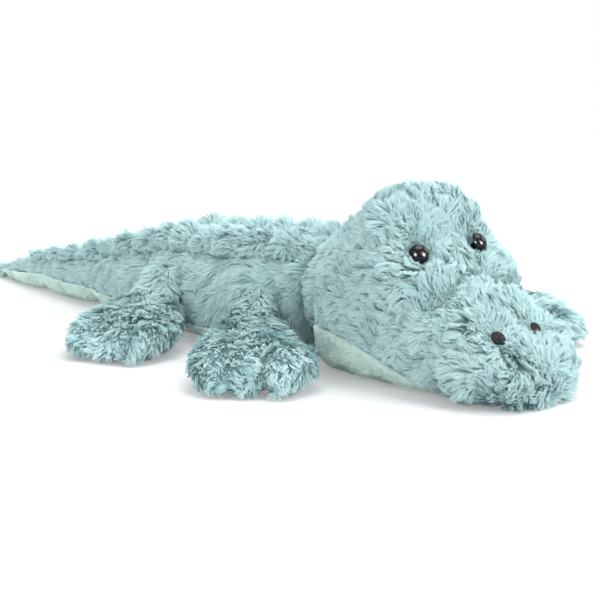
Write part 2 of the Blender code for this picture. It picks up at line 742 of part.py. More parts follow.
def make_ridge(name, form, rear_x, front_x, side, material, pivot):
    """A sewn strip of soft bumps along the back, on one side of the middle."""
    rear_x += RIDGE_END_GAP
    front_x -= RIDGE_END_GAP
    bumps = max(1, round((front_x - rear_x) / RIDGE_PITCH))
    steps = BUMP_STEPS * bumps
    outer, inner = [], []
    for i, x in enumerate(spread(rear_x, front_x, steps)):
        half_width, _, _, _, round_top, _ = form.section(x)
        grade = sqrt(half_width / TORSO_HALF_WIDTH)
        middle = RIDGE_SIDE_SHARE * half_width
        reach = min(RIDGE_HALF_WIDTH * grade ** 2, middle - RIDGE_EDGE / 2)
        swell = sin(pi * (i % BUMP_STEPS) / BUMP_STEPS)
        high, low = [], []
        for across in spread(-1, 1, RIDGE_COLUMNS):
            y = middle + reach * across
            turn = acos((y / half_width) ** (round_top / 2))
            place = form.point(x, turn)
            _, out = form.seat(x, y)
            crest = (VALLEY_SHARE + (1 - VALLEY_SHARE) * swell) * (1 - across * across)
            rise = RIDGE_EDGE + (RIDGE_HEIGHT - RIDGE_EDGE) * grade * crest
            low_point = place + out * FILL_GAP
            high_point = place + out * (FILL_GAP + rise)
            low.append(Vector((low_point.x, side * low_point.y, low_point.z)))
            high.append(Vector((high_point.x, side * high_point.y, high_point.z)))
        outer.append(high)
        inner.append(low)
    closed = [False] * len(outer)
    return make_patch(name, outer, inner, closed, False, material, pivot)


def make_tail(word, ball, rear_x, plush, pale, fibre, next_ball, pivot):
    """One length of tail: skin, gusset, filling and two ridges, with a ball in front."""
    form = tail_form(ball)
    front = ball.x + ball.half_length * BALL_FRONT_SHARE
    stations = spread(rear_x, ball.x - BALL_RUN, TAIL_STEPS) + spread(ball.x, front, BALL_STEPS)
    tip = next_ball is None
    if tip:
        stations = stations[::-1]
    skin = form_skin(word + "_skin", form, stations, TAIL_SEAM_SHARES, plush, pivot, cap_end=tip)
    flat = [x for x in stations if form.share(x) > TAIL_SEAM_SHARES[0][0]]
    gusset = form_gusset(word + "_gusset", form, flat, TAIL_SEAM_SHARES, pale, pivot)
    filled = stations[:-1] if tip else stations
    skip = 1 if tip else 2
    filling = form_filling(word + "_filling", form, filled, TAIL_SEAM_SHARES, fibre, pivot, skip)
    if next_ball is not None:
        cup = next_ball.cutter(word + "_cup", TURN_GAP)
        for piece in (skin, gusset, filling):
            cut(piece, cup)
    ridge_rear = rear_x if next_ball is not None else rear_x + RIDGE_TIP_GAP
    for side, hand in ((1, "left"), (-1, "right")):
        make_ridge(word + "_ridge_" + hand, form, ridge_rear, ball.x - BALL_RUN / 2, side, plush, pivot)


def leg_rows(reach):
    """Sections along a leg: distance from its root, half width, half height and middle height."""
    half_height = (PAW_HEIGHT + FLOOR_PRESS) / 2
    level = PAW_HEIGHT - half_height
    rows = [
        (0, ROOT_HALF_WIDTH, ROOT_RADIUS, ROOT_HEIGHT),
        (WAIST_PLACE, WAIST_HALF_WIDTH, WAIST_HALF_HEIGHT, ROOT_HEIGHT),
    ]
    for along, beyond, wide, high, lift in LEG_OUTLINE_SHARES:
        place = reach * along + PAW_LENGTH * beyond
        rows.append((place, PAW_HALF_WIDTH * wide, half_height * high, level * lift))
    return rows


def leg_point(rows, reach, place, turn, depth=0, gap=0):
    """A point of a leg's skin, outside or drawn in by the depth, or of the toeless filling past the gap."""
    half_width, half_height, level = eased_row(rows, max(0, place))
    fall = sqrt(1 - (min(0, place) / ROOT_RADIUS) ** 2)
    fullness = min(1, max(0, (place - WAIST_PLACE) / (reach - WAIST_PLACE)))
    power = 2 + (LEG_ROUND_SHARE - 2) * fullness
    across = rounded(cos(turn), power)
    beyond = max(0, (place - reach) / PAW_LENGTH)
    lobe = 0 if gap else abs(cos(TOE_COUNT * pi / 2 * across))
    half_height *= fall * (1 - TOE_GROOVE_SHARE * (1 - lobe) * beyond)
    half_width *= fall
    inset = min(depth, INSET_LIMIT_SHARE * half_height) + gap
    up = max(inset, level + (half_height - inset) * rounded(sin(turn), power))
    return Vector((place + (TOE_LENGTH * lobe - inset) * beyond, (half_width - inset) * across, up))


def make_leg(name, root_x, side, reach, heading, plush, fibre):
    """A leg with a three-toed paw: a plush skin, open at its root, and the filling in it."""
    pivot = make_pivot(name + "_pivot", (root_x, side * ROOT_SIDE, ROOT_HEIGHT))
    root = Vector((root_x, side * ROOT_SIDE, 0))
    along = Vector((cos(heading), side * sin(heading), 0))
    across = Vector((0, 0, 1)).cross(along)
    rows = leg_rows(reach)
    places = [ROOT_RADIUS * share for share in LEG_ROOT_SHARES]
    places += [WAIST_PLACE * share for share in LEG_WAIST_SHARES]
    places += [reach * share for share in LEG_REACH_SHARES]
    places += [reach + PAW_LENGTH * share for share in LEG_TOE_SHARES]
    quarter = [acos(share ** (LEG_ROUND_SHARE / 2)) for share in LEG_TURN_SHARES]
    right = [-turn for turn in quarter] + [0] + quarter[:0:-1]
    turns = right + [pi - turn for turn in right[::-1]]
    turns = [-pi / 2] + sorted(set(round(turn, 6) for turn in turns))[1:]

    def ring(place, *depths):
        """One ring of the leg, placed in the toy's frame."""
        spots = [leg_point(rows, reach, place, turn, *depths) for turn in turns]
        return [root + along * spot.x + across * spot.y + Vector((0, 0, spot.z)) for spot in spots]

    outer = [ring(place) for place in places]
    inner = [ring(place, LEG_SKIN) for place in places]
    closed = [True] * len(places)
    make_patch(name + "_skin", outer, inner, closed, True, plush, pivot)
    core = [ring(place, LEG_SKIN, LEG_FILL_GAP)[:-1] for place in places]
    make_solid(name + "_filling", core, fibre, pivot)


def build():
    """Build the whole toy."""
    clear_scene()
    plush = make_material("plush", (0.29, 0.51, 0.49), 0.95)
    pale = make_material("pale_plush", (0.58, 0.74, 0.66), 0.9)
    fibre = make_material("fibre", (0.85, 0.85, 0.83), 0.95)
    gloss = make_material("gloss_black", (0.01, 0.01, 0.012), 0.08)
    nylon = make_material("nylon", (0.75, 0.75, 0.75), 0.5)
    thread = make_material("black_thread", (0.02, 0.018, 0.018), 0.55)

    head_pivot = make_pivot("head_pivot", NECK_CENTRE)
    make_head(plush, pale, fibre, gloss, nylon, thread, head_pivot)
    make_neck(plush, fibre, make_pivot("neck_pivot", NECK_CENTRE))

    swing = tail_ball(TAIL_SWING_X, True)
    lift = tail_ball(TAIL_LIFT_X, False)
    tip = tail_ball(TAIL_TIP_X, True)
    make_torso(plush, pale, fibre, swing)
    lengths = (
        ("tail_base", swing, TAIL_LIFT_X + LIFT_SETBACK, lift),
        ("tail_middle", lift, TAIL_TIP_X + TIP_SETBACK, tip),
        ("tail_end", tip, TAIL_END_X, None),
    )
    for word, ball, rear_x, next_ball in lengths:
        pivot = make_pivot(word + "_pivot", (ball.x, 0, ball.level))
        make_tail(word, ball, rear_x, plush, pale, fibre, next_ball, pivot)
    for leg in LEGS:
        make_leg(*leg, plush, fibre)


build()
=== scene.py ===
"""Looks of the plush crocodile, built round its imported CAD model. Metres, +X to the nose, +Z up."""

import json
from math import cos, pi, radians, sin

import bmesh
import bpy
import numpy as np
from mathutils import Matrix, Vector
from mathutils.bvhtree import BVHTree
from mathutils.kdtree import KDTree


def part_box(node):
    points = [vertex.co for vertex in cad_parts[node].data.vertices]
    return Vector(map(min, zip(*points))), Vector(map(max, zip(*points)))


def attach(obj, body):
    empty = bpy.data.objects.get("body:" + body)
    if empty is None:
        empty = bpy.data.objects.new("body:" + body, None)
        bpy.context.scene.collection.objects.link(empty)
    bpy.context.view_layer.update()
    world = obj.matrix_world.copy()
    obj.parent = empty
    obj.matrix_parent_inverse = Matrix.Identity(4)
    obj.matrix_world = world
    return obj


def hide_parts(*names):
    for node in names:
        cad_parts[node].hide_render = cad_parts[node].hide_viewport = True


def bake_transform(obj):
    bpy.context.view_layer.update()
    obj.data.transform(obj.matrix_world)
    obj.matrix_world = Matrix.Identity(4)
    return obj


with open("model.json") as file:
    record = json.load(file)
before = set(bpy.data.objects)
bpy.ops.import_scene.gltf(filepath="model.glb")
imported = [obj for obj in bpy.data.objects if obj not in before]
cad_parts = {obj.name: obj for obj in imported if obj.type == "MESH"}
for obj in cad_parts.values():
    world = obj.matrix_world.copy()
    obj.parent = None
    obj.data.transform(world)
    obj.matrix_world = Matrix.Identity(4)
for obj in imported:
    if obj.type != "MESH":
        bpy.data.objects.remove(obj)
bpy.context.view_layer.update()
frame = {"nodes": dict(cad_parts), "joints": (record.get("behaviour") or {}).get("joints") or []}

# Fibre filling
# Every stuffed part is packed with loose white polyester fibre. It is pushed in through a gap in a
# seam, which is then closed, so none of it shows.

FIBRE_COLOUR = (0.86, 0.86, 0.84)
FIBRE_SHADE = (0.68, 0.69, 0.68)
FIBRE_VOXEL = 0.004
FIBRE_SHRINK = 0.0012
FIBRE_DEEP_SHRINK = 0.0048
FIBRE_CURL_SCALE = 160
FIBRE_BUMP = 0.002
FIBRE_ROUNDS = 2
SMOOTH_SHARE = 0.5
LATER_ROUNDS = 2
BALL_SEGMENTS = 24
BALL_RINGS = 12
LEGS = ("front_left_leg", "front_right_leg", "rear_left_leg", "rear_right_leg")
TAILS = ("tail_base", "tail_middle", "tail_end")
STUFFED_PARTS = ("head", "neck", "torso", *LEGS, *TAILS)


class Wire:
    """A shader socket that Python's operators can work with, one Math node for each."""

    def __init__(self, shading, socket):
        self.shading = shading
        self.socket = socket

    def math(self, operation, *others):
        values = dict(enumerate((self, *others)))
        return self.shading.node("ShaderNodeMath", {"operation": operation}, values)

    def __add__(self, other):
        return self.math("ADD", other)

    def __sub__(self, other):
        return self.math("SUBTRACT", other)

    def __mul__(self, other):
        return self.math("MULTIPLY", other)

    def __rsub__(self, other):
        return self.shading.node("ShaderNodeMath", {"operation": "SUBTRACT"}, {0: other, 1: self})

    __radd__ = __add__
    __rmul__ = __mul__

    def clamped(self):
        return self.shading.node("ShaderNodeClamp", {}, {"Value": self})

    def output(self, key):
        """Another output of the node that the socket belongs to."""
        return Wire(self.shading, self.socket.node.outputs[key])


class Shading:
    """One Principled material and the nodes that feed it."""

    def __init__(self, name, **plain):
        self.material = bpy.data.materials.new(name)
        self.material.use_nodes = True
        self.tree = self.material.node_tree
        self.shader = self.tree.nodes["Principled BSDF"]
        for socket, value in plain.items():
            self.shader.inputs[socket.replace("_", " ")].default_value = value

    def node(self, kind, settings, values, output=0):
        """Add a node of a type, with its settings and the values or wires of its sockets."""
        made = self.tree.nodes.new(kind)
        for key, value in settings.items():
            if key == "stops":
                self.set_stops(made.color_ramp, value)
            else:
                setattr(made, key, value)
        for key, value in values.items():
            if isinstance(value, Wire):
                self.tree.links.new(value.socket, made.inputs[key])
            else:
                made.inputs[key].default_value = value
        return Wire(self, made.outputs[output])

    @staticmethod
    def set_stops(ramp, stops):
        while len(ramp.elements) < len(stops):
            ramp.elements.new(1)
        for element, (place, colour) in zip(ramp.elements, stops):
            element.position = place
            element.color = (*colour, 1)

    def ramp(self, wire, *stops):
        return self.node("ShaderNodeValToRGB", {"stops": stops}, {"Fac": wire})

    def mix(self, factor, first, second):
        """Mix two colours, each a wire or three numbers."""
        first, second = (c if isinstance(c, Wire) else (*c, 1) for c in (first, second))
        return self.node("ShaderNodeMix", {"data_type": "RGBA"}, {0: factor, 6: first, 7: second}, 2)

    def place(self):
        return self.node("ShaderNodeTexCoord", {}, {}, "Object")

    def noise(self, scale, detail=3, roughness=0.5, vector=None):
        values = {"Vector": vector or self.place(), "Scale": scale}
        values.update({"Detail": detail, "Roughness": roughness})
        return self.node("ShaderNodeTexNoise", {}, values)

    def feed(self, socket, wire):
        self.tree.links.new(wire.socket, self.shader.inputs[socket])

    def bump(self, height, distance):
        values = {"Height": height, "Distance": distance, "Strength": 1}
        self.feed("Normal", self.node("ShaderNodeBump", {}, values))


def deselect():
    """Leave nothing selected."""
    if bpy.context.object and bpy.context.object.mode != "OBJECT":
        bpy.ops.object.mode_set(mode="OBJECT")
    bpy.ops.object.select_all(action="DESELECT")


def pick(*pieces):
    """Select only these pieces, and make the last of them active."""
    deselect()
    for piece in pieces:
        piece.select_set(True)
    bpy.context.view_layer.objects.active = pieces[-1]


def settle(piece):
    """Put a piece's place, turn and size into its mesh."""
    pick(piece)
    bpy.ops.object.transform_apply(location=True, rotation=True, scale=True)


def merged_copy(name, nodes, plugs=()):
    """One loose mesh of copies of CAD nodes, and of a ball for each hollow to fill."""
    deselect()
    pieces = []
    for centre, radius in plugs:
        bpy.ops.mesh.primitive_uv_sphere_add(
            segments=BALL_SEGMENTS, ring_count=BALL_RINGS, radius=radius, location=centre,
        )
        pieces.append(bpy.context.object)
    for ball in pieces:
        settle(ball)
    for node in nodes:
        piece = bpy.data.objects.new(name, frame["nodes"][node].data.copy())
        piece.data.materials.clear()
        bpy.context.collection.objects.link(piece)
        pieces.append(piece)
    pick(*pieces)
    bpy.ops.object.join()
    piece = bpy.context.object
    piece.name = name
    piece.data.name = name
    return piece


def apply_step(piece, kind, **settings):
    """Add one modifier to a piece and apply it."""
    pick(piece)
    step = piece.modifiers.new(kind.lower(), kind)
    for key, value in settings.items():
        setattr(step, key, value)
    bpy.ops.object.modifier_apply(modifier=step.name)


def stuffed_shape(name, nodes, voxel, rounds, shrink, plugs=()):
    """The outer face of sewn and stuffed CAD nodes as one smooth closed mesh, drawn in by a distance."""
    piece = merged_copy(name, nodes, plugs)
    apply_step(piece, "REMESH", mode="VOXEL", voxel_size=voxel)
    keep_largest(piece)
    apply_step(piece, "SMOOTH", factor=SMOOTH_SHARE, iterations=rounds)
    if shrink:
        apply_step(piece, "DISPLACE", strength=-shrink, mid_level=0)
        apply_step(piece, "SMOOTH", factor=SMOOTH_SHARE, iterations=LATER_ROUNDS)
    piece.data.shade_smooth()
    return piece


def keep_largest(piece):
    """Delete all but the largest loose part of a mesh."""
    pick(piece)
    bpy.ops.object.mode_set(mode="EDIT")
    bpy.ops.mesh.separate(type="LOOSE")
    bpy.ops.object.mode_set(mode="OBJECT")
    parts = sorted(bpy.context.selected_objects, key=lambda part: len(part.data.vertices))
    largest = parts.pop()
    largest.data, piece.data = piece.data, largest.data
    for part in bpy.context.selected_objects:
        if part != piece:
            bpy.data.objects.remove(part)


def cover(piece, body, slot, *nodes):
    """Make a piece ride on a body and stand for CAD nodes, which are hidden. The slot is not used."""
    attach(piece, body)
    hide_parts(*nodes)


fibre = Shading("polyester_fibre", Roughness=0.95, Sheen_Weight=0.4)
fibre_curl = fibre.noise(FIBRE_CURL_SCALE, 6, 0.7)
fibre.feed("Base Color", fibre.mix(fibre_curl, FIBRE_SHADE, FIBRE_COLOUR))
fibre.bump(fibre_curl, FIBRE_BUMP)

for part in STUFFED_PARTS:
    shrink = FIBRE_DEEP_SHRINK if part in ("head", "torso", *LEGS) else FIBRE_SHRINK
    core = stuffed_shape(part + "_fibre", [part + "_filling"], FIBRE_VOXEL, FIBRE_ROUNDS, shrink)
    core.data.materials.append(fibre.material)
    cover(core, part, "fibre", part + "_filling")

# Plush backing
# Under the long pile lies a knitted backing cloth, cut to panels and sewn inside out. The stuffed
# form of the toy is the form of this cloth. It only shows as a dark ground between locks of pile.

BACKING_COLOUR = (0.330, 0.530, 0.540)
BACKING_SHADE = (0.260, 0.440, 0.450)
BACKING_PATCH_SCALE = 90
BACKING_KNIT_SCALE = 900
BACKING_BUMP = 0.0006
PLUSH_VOXEL = 0.0030
PLUSH_ROUNDS = 9
NECK_ROUNDS = 4
LEG_ROUNDS = 6
PILE_STAND = 0.0042
LEG_PILE_STAND = 0.0036
ROOT_PLUG = 0.020
NECK_PLUG = 0.040
CUT_INSET = 0.003
BEND_RUN = 0.020
HIP_RUN = 0.034
SEAM_X = (-0.300, -0.285, -0.268, -0.222, -0.174, -0.120, -0.060, 0.000, 0.100)
SEAM_Z = (0.0040, 0.0080, 0.0103, 0.0155, 0.0146, 0.0140, 0.0140, 0.0125, 0.0125)

backing = Shading("plush_backing", Roughness=0.95)
backing_patch = backing.noise(BACKING_PATCH_SCALE, 4)
backing.feed("Base Color", backing.mix(backing_patch, BACKING_SHADE, BACKING_COLOUR))
backing.bump(backing.noise(BACKING_KNIT_SCALE, 1), BACKING_BUMP)


def node_middle(node):
    """The middle of a CAD node's box."""
    low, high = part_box(node)
    return (low + high) / 2


def cut_length(name, whole, rear_x, front_x):
    """A copy of the part of a long piece that lies between two places along X, closed at its cuts."""
    piece = bpy.data.objects.new(name, whole.data.copy())
    bpy.context.collection.objects.link(piece)
    for x, direction in ((rear_x, -1), (front_x, 1)):
        if x is None:
            continue
        pick(piece)
        bpy.ops.object.mode_set(mode="EDIT")
        bpy.ops.mesh.select_all(action="SELECT")
        bpy.ops.mesh.bisect(plane_co=(x, 0, 0), plane_no=(direction, 0, 0), clear_outer=True, use_fill=True)
        bpy.ops.object.mode_set(mode="OBJECT")
    piece.data.shade_smooth()
    return piece


def seam_level(x):
    """The height of the seam between long pile and gusset along body and tail."""
    return np.interp(x, SEAM_X, SEAM_Z)


def cut_tail(kind, whole):
    """The tail's three lengths of a long piece, from its root to its tip."""
    return {word: cut_length(f"{word}_{kind}", whole, *ends) for word, ends in TAIL_CUTS.items()}


PLACES = {joint["child"]: joint["pos_m"] for joint in frame["joints"]}
JOINT_X = {child: place[0] for child, place in PLACES.items()}
HEAD_REAR_X, NOSE_X = (corner.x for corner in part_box("head_skin"))
TORSO_FRONT_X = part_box("torso_skin")[1].x
TORSO_CUT_X = TORSO_FRONT_X - CUT_INSET
HIP_SPLIT_X = JOINT_X["tail_base"] + HIP_RUN
# The tail's cover is made in three lengths. Each spans the joint between two bodies and has its two ends
# along X.
TAIL_LINKS = {
    "tail_root": ("torso", "tail_base"),
    "tail_middle": ("tail_base", "tail_middle"),
    "tail_tip": ("tail_middle", "tail_end"),
}
splits = [(JOINT_X[tail] + JOINT_X[after]) / 2 for tail, after in zip(TAILS, TAILS[1:])]
TAIL_CUTS = dict(zip(TAIL_LINKS, zip((*splits, None), (HIP_SPLIT_X, *splits))))

long_nodes = ["torso_skin", "belly_gusset", "torso_filling"]
for tail in TAILS:
    long_nodes += [tail + part for part in ("_skin", "_gusset", "_filling")]
root_plugs = [(PLACES[joint["child"]], ROOT_PLUG) for joint in frame["joints"] if joint["child"] in LEGS]
neck_plug = (PLACES["head"], NECK_PLUG)
long_shape = stuffed_shape(
    "long_shape", long_nodes, PLUSH_VOXEL, PLUSH_ROUNDS, PILE_STAND, (*root_plugs, neck_plug),
)
torso_backing = cut_length("torso_backing", long_shape, HIP_SPLIT_X, TORSO_CUT_X)
tail_backings = cut_tail("backing", long_shape)
head_nodes = ["head_skin", "jaw_gusset", "head_filling"]
head_shape = stuffed_shape("head_shape", head_nodes, PLUSH_VOXEL, PLUSH_ROUNDS, PILE_STAND, [neck_plug])
head_backing = cut_length("head_backing", head_shape, HEAD_REAR_X + CUT_INSET, None)
bpy.data.objects.remove(head_shape)
neck_backing = stuffed_shape("neck_backing", ["neck_skin", "neck_filling"], PLUSH_VOXEL, NECK_ROUNDS, 0)
leg_backings = {
    leg: stuffed_shape(
        leg + "_backing", [leg + "_skin", leg + "_filling"], PLUSH_VOXEL, LEG_ROUNDS, LEG_PILE_STAND,
        [(PLACES[leg], ROOT_PLUG)],
    )
    for leg in LEGS
}

# The filling swells the muzzle, brow and paws out, and draws the rear of the crown in. Each place has
# its middle on the left, how far it reaches and how far the cloth moves.
HEAD_SWELLS = (
    ((0.256, 0.042, 0.006), 0.024, 0.0140), ((0.222, 0.046, 0.076), 0.020, 0.0060),
    ((0.193, 0.036, 0.116), 0.020, 0.0034), ((0.186, 0.006, 0.133), 0.026, 0.0040),
    ((0.126, 0.018, 0.112), 0.028, -0.0060),
)
PAW_SWELLS = (((0.155, 0.090, 0.013), 0.022, 0.0100), ((0.201, 0.139, 0.013), 0.020, 0.0070))
# A fold runs from each cheek towards the bridge of the nose, where the cheek is sewn down.
CREASE = np.array((
    (0.2296, 0.0447, 0.0601), (0.2329, 0.0405, 0.0603), (0.2341, 0.0343, 0.0633),
    (0.2330, 0.0247, 0.0669), (0.2284, 0.0137, 0.0716), (0.2250, 0.0050, 0.0750),
))
CREASE_DEPTH = 0.0044
CREASE_REACH = 0.0038
CREASE_CLIP_REACH = 0.0070


def positions(piece, kind="co"):
    """The places of a mesh's vertices, or their normals, as rows."""
    rows = np.empty(len(piece.data.vertices) * 3)
    piece.data.vertices.foreach_get(kind, rows)
    return rows.reshape(-1, 3)


def face_tree(piece):
    """A mesh's faces, set out for looking up what lies near a point or along a ray."""
    mesh = piece.data
    return BVHTree.FromPolygons([v.co for v in mesh.vertices], [p.vertices for p in mesh.polygons])


def to_left(points):
    """Points with those on the right mirrored to the left."""
    return np.column_stack((points[:, 0], np.abs(points[:, 1]), points[:, 2]))


def push(piece, rise, level=False):
    """Move a mesh's vertices out along their normals, or along the level part of them."""
    normals = positions(piece, "normal")
    if level:
        normals[:, 2] = np.maximum(normals[:, 2], 0)
    before = positions(piece)
    after = before + normals * rise[:, None]
    after[:, 2] = np.maximum(after[:, 2], before[:, 2].min())
    piece.data.vertices.foreach_set("co", after.ravel())
    piece.data.update()


def swell(piece, places):
    """Push a stuffed form out at places that are the same on both sides."""
    left = to_left(positions(piece))
    rise = sum(
        size * np.exp(-(np.linalg.norm(left - middle, axis=1) / reach) ** 2)
        for middle, reach, size in places
    )
    push(piece, rise, level=True)


def by_crease(points, reach=CREASE_REACH):
    """How near each point lies to a cheek's fold, 1 on it and 0 away from it."""
    left = to_left(points)
    apart = np.full(len(points), 1.0)
    for start, end in zip(CREASE, CREASE[1:]):
        run = end - start
        along = np.clip((left - start) @ run / (run @ run), 0, 1)
        apart = np.minimum(apart, np.linalg.norm(left - start - along[:, None] * run, axis=1))
    return np.exp(-(apart / reach) ** 2)


swell(head_backing, HEAD_SWELLS)
push(head_backing, -CREASE_DEPTH * by_crease(positions(head_backing)))
for leg in LEGS[:2]:
    swell(leg_backings[leg], PAW_SWELLS)

# Two rows of soft bumps are stitched along back and tail, one on each side of the spine.
RIDGE_GUIDE_STEP = 0.0065
RIDGE_STEP = 0.0022
RIDGE_COLUMNS = 10
RIDGE_PITCH = 0.0262
RIDGE_TOP = 0.0124
RIDGE_DIP = 0.0058
RIDGE_SINK = 0.0040
RIDGE_ROUNDNESS = 0.6
RIDGE_TAPER = 0.5
RIDGE_REAR_RISE = 2 / RIDGE_PITCH
RIDGE_FRONT_RISE = 4 / RIDGE_PITCH


def ridge_guide():
    """Where the left row of CAD ridges runs: X, middle, half width and height at places along it."""
    rows = []
    for body in ("torso", *TAILS):
        points = positions(frame["nodes"][body + "_ridge_left"])
        for x in np.arange(points[:, 0].min(), points[:, 0].max(), RIDGE_GUIDE_STEP):
            _, side, level = points[np.abs(points[:, 0] - x) < RIDGE_GUIDE_STEP].T
            rows.append((x, (side.min() + side.max()) / 2, (side.max() - side.min()) / 2, level.mean()))
    return np.array(sorted(rows)).T


def ridge_strip(side):
    """One whole row of bumps, as a closed strip that follows the back."""
    guide = ridge_guide()
    rear_x, front_x = guide[0][0], TORSO_CUT_X - CUT_INSET
    tree = face_tree(long_shape)
    deselect()
    bpy.ops.mesh.primitive_grid_add(
        x_subdivisions=int((front_x - rear_x) / RIDGE_STEP), y_subdivisions=RIDGE_COLUMNS, size=2,
    )
    strip = bpy.context.object
    for vertex in strip.data.vertices:
        x = rear_x + (front_x - rear_x) * (vertex.co.x + 1) / 2
        across = vertex.co.y
        middle, half, level = (np.interp(x, guide[0], row) for row in guide[1:])
        place, normal, _, _ = tree.find_nearest(Vector((x, side * middle + half * across, level)))
        grade = (half / guide[2].max()) ** RIDGE_TAPER
        bump = sin(pi * (x - rear_x) / RIDGE_PITCH) ** 2
        ends = min(1, (x - rear_x) * RIDGE_REAR_RISE, (front_x - x) * RIDGE_FRONT_RISE)
        arch = (1 - across * across) ** RIDGE_ROUNDNESS
        vertex.co = place + normal * (RIDGE_DIP + (RIDGE_TOP - RIDGE_DIP) * bump) * arch * grade * ends
    apply_step(strip, "SOLIDIFY", thickness=RIDGE_SINK, offset=-1)
    return strip


ridge_rows, right_row = ridge_strip(1), ridge_strip(-1)
pick(right_row, ridge_rows)
bpy.ops.object.join()
ridge_backings = {"torso": cut_length("torso_ridge_backing", ridge_rows, HIP_SPLIT_X, None)}
ridge_backings.update(cut_tail("ridge_backing", ridge_rows))

# Long pile
# The plush is a wavy pile of polyester, 12 to 15 mm long. It is woven into the backing with a nap
# that runs from nose to tail, and it gathers in soft locks. Each lock tapers to a point.

PILE_SPOTS = (0.0, 0.36, 0.70, 1.0)
# Each row gives root, middle and tip colours: darker at the root as painted shade down among the locks, and
# paler at the tip as painted light on them.
PILE_DARK = ((0.300, 0.500, 0.508), (0.395, 0.610, 0.618), (0.500, 0.710, 0.718))
PILE_PALE = ((0.400, 0.610, 0.618), (0.515, 0.722, 0.732), (0.640, 0.825, 0.835))
LEG_DARK = ((0.290, 0.500, 0.510), (0.430, 0.670, 0.682), (0.570, 0.800, 0.812))
LEG_PALE = ((0.380, 0.600, 0.610), (0.550, 0.780, 0.792), (0.710, 0.890, 0.900))
NAP_START = Vector((NOSE_X - 0.020, 0, 0.010))
RAYS = [Vector(way).normalized() for way in ((0.3, 0.5, 0.8), (-0.7, 0.2, 0.6), (0.1, -0.9, 0.4))]
RAY_STEP = 1e-6
TINT_PLACES = (0.05, 0.45, 0.95)
SWIRL_WAVES = 5
SWIRL_LEVEL = 3
FLOOR_GAP = 0.0004
RIBBON_TAPER = 0.75
WIDTH_LEAST = 0.75
WIDTH_SPREAD = 0.5
HOLD_POWER = 1.3
TINT_MIDDLE = 0.45
TINT_DRIFT = 0.16
TINT_DRIFT_SIZE = 0.03
# How far pile varies between large locks, between small ones and between strands
OWN_TURN = 0.15
LENGTH_SPREAD = (0.22, 0.12, 0.10)
START_SPREAD = (0.18, None, 0.15)
FINISH_SPREAD = (0.25, 0.15)
PHASE_SPREAD = (pi, 1.2)
WAVE_SPREAD = (0.3,)
TINT_SPREAD = (0.22, 0.14, 0.12)
EYES = [node_middle("eye_left"), node_middle("eye_right")]
NOSTRILS = [node_middle("nostril_left"), node_middle("nostril_right")]


def pile_material(name, low, high, roughness):
    """Pile whose colour runs from a darker root to a paler tip along V, as painted shade down among the
    locks and painted light on their tips, between two such runs along U.
    """
    shading = Shading(
        name, Roughness=roughness, Sheen_Weight=0.25, Sheen_Roughness=0.5, Specular_IOR_Level=0.25,
    )
    uv = shading.node("ShaderNodeUVMap", {"uv_map": "OFBake"}, {})
    tone_and_painted_shading = shading.node("ShaderNodeSeparateXYZ", {}, {"Vector": uv})
    dark, pale = (shading.ramp(tone_and_painted_shading.output(1), *zip(TINT_PLACES, row)) for row in (low, high))
    shading.feed("Base Color", shading.mix(tone_and_painted_shading, dark, pale))
    return shading.material


plush_pile = pile_material("plush_pile", PILE_DARK, PILE_PALE, 0.8)
leg_pile = pile_material("leg_pile", LEG_DARK, LEG_PALE, 0.75)


def unit(vectors):
    """Rows of vectors made one long."""
    return vectors / np.maximum(np.linalg.norm(vectors, axis=1, keepdims=True), 1e-9)


def scatter(surface, count, dice):
    """Places and normals spread evenly by area over a mesh."""
    mesh = surface.data
    mesh.calc_loop_triangles()
    corners = np.empty(len(mesh.loop_triangles) * 3, np.int32)
    mesh.loop_triangles.foreach_get("vertices", corners)
    corners = corners.reshape(-1, 3)
    points, normals = positions(surface), positions(surface, "normal")
    a, b, c = (points[corners[:, i]] for i in range(3))
    area = np.linalg.norm(np.cross(b - a, c - a), axis=1)
    chosen = dice.choice(len(area), count, p=area / area.sum())
    far = np.sqrt(dice.random((count, 1)))
    turn = dice.random((count, 1))
    weights = np.hstack((1 - far, far * (1 - turn), far * turn))
    place = np.einsum("ij,ijk->ik", weights, points[corners[chosen]])
    normal = np.einsum("ij,ijk->ik", weights, normals[corners[chosen]])
    return place, unit(normal)


def reach_to(points, shape):
    """How far each point lies from a mesh."""
    tree = face_tree(shape)
    return np.array([tree.find_nearest(Vector(point))[3] for point in points])


def crossings(tree, place, way):
    """How many faces a ray passes through."""
    count = 0
    while True:
        hit = tree.ray_cast(place, way)[0]
        if hit is None:
            return count
        count += 1
        place = hit + way * RAY_STEP


def within(points, shape, room):
    """Which points lie inside a closed mesh, or outside it by less than a room."""
    tree = face_tree(shape)
    corners = positions(shape)
    near = np.all((points > corners.min(0) - room) & (points < corners.max(0) + room), axis=1)
    for i in np.flatnonzero(near):
        place = Vector(points[i])
        if room and tree.find_nearest(place, room)[0] is not None:
            continue
        near[i] = sum(crossings(tree, place, way) % 2 for way in RAYS) > len(RAYS) / 2
    return near


def gather(points, spacing, dice):
    """For each point, the number of the point that leads its lock."""
    count = max(1, int(len(points) * spacing))
    leaders = dice.choice(len(points), count, replace=False)
    tree = KDTree(count)
    for place, leader in enumerate(leaders):
        tree.insert(points[leader], place)
    tree.balance()
    return np.array([leaders[tree.find(point)[1]] for point in points])


def swirl(points, size, seed):
    """A smooth field of turns between -1 and 1 that varies over a size."""
    dice = np.random.default_rng(seed)
    total = np.zeros(len(points))
    for _ in range(SWIRL_WAVES):
        wave = dice.normal(size=3) / size
        total += np.sin(points @ wave * 2 + dice.random() * 2 * pi)
    return total / SWIRL_LEVEL


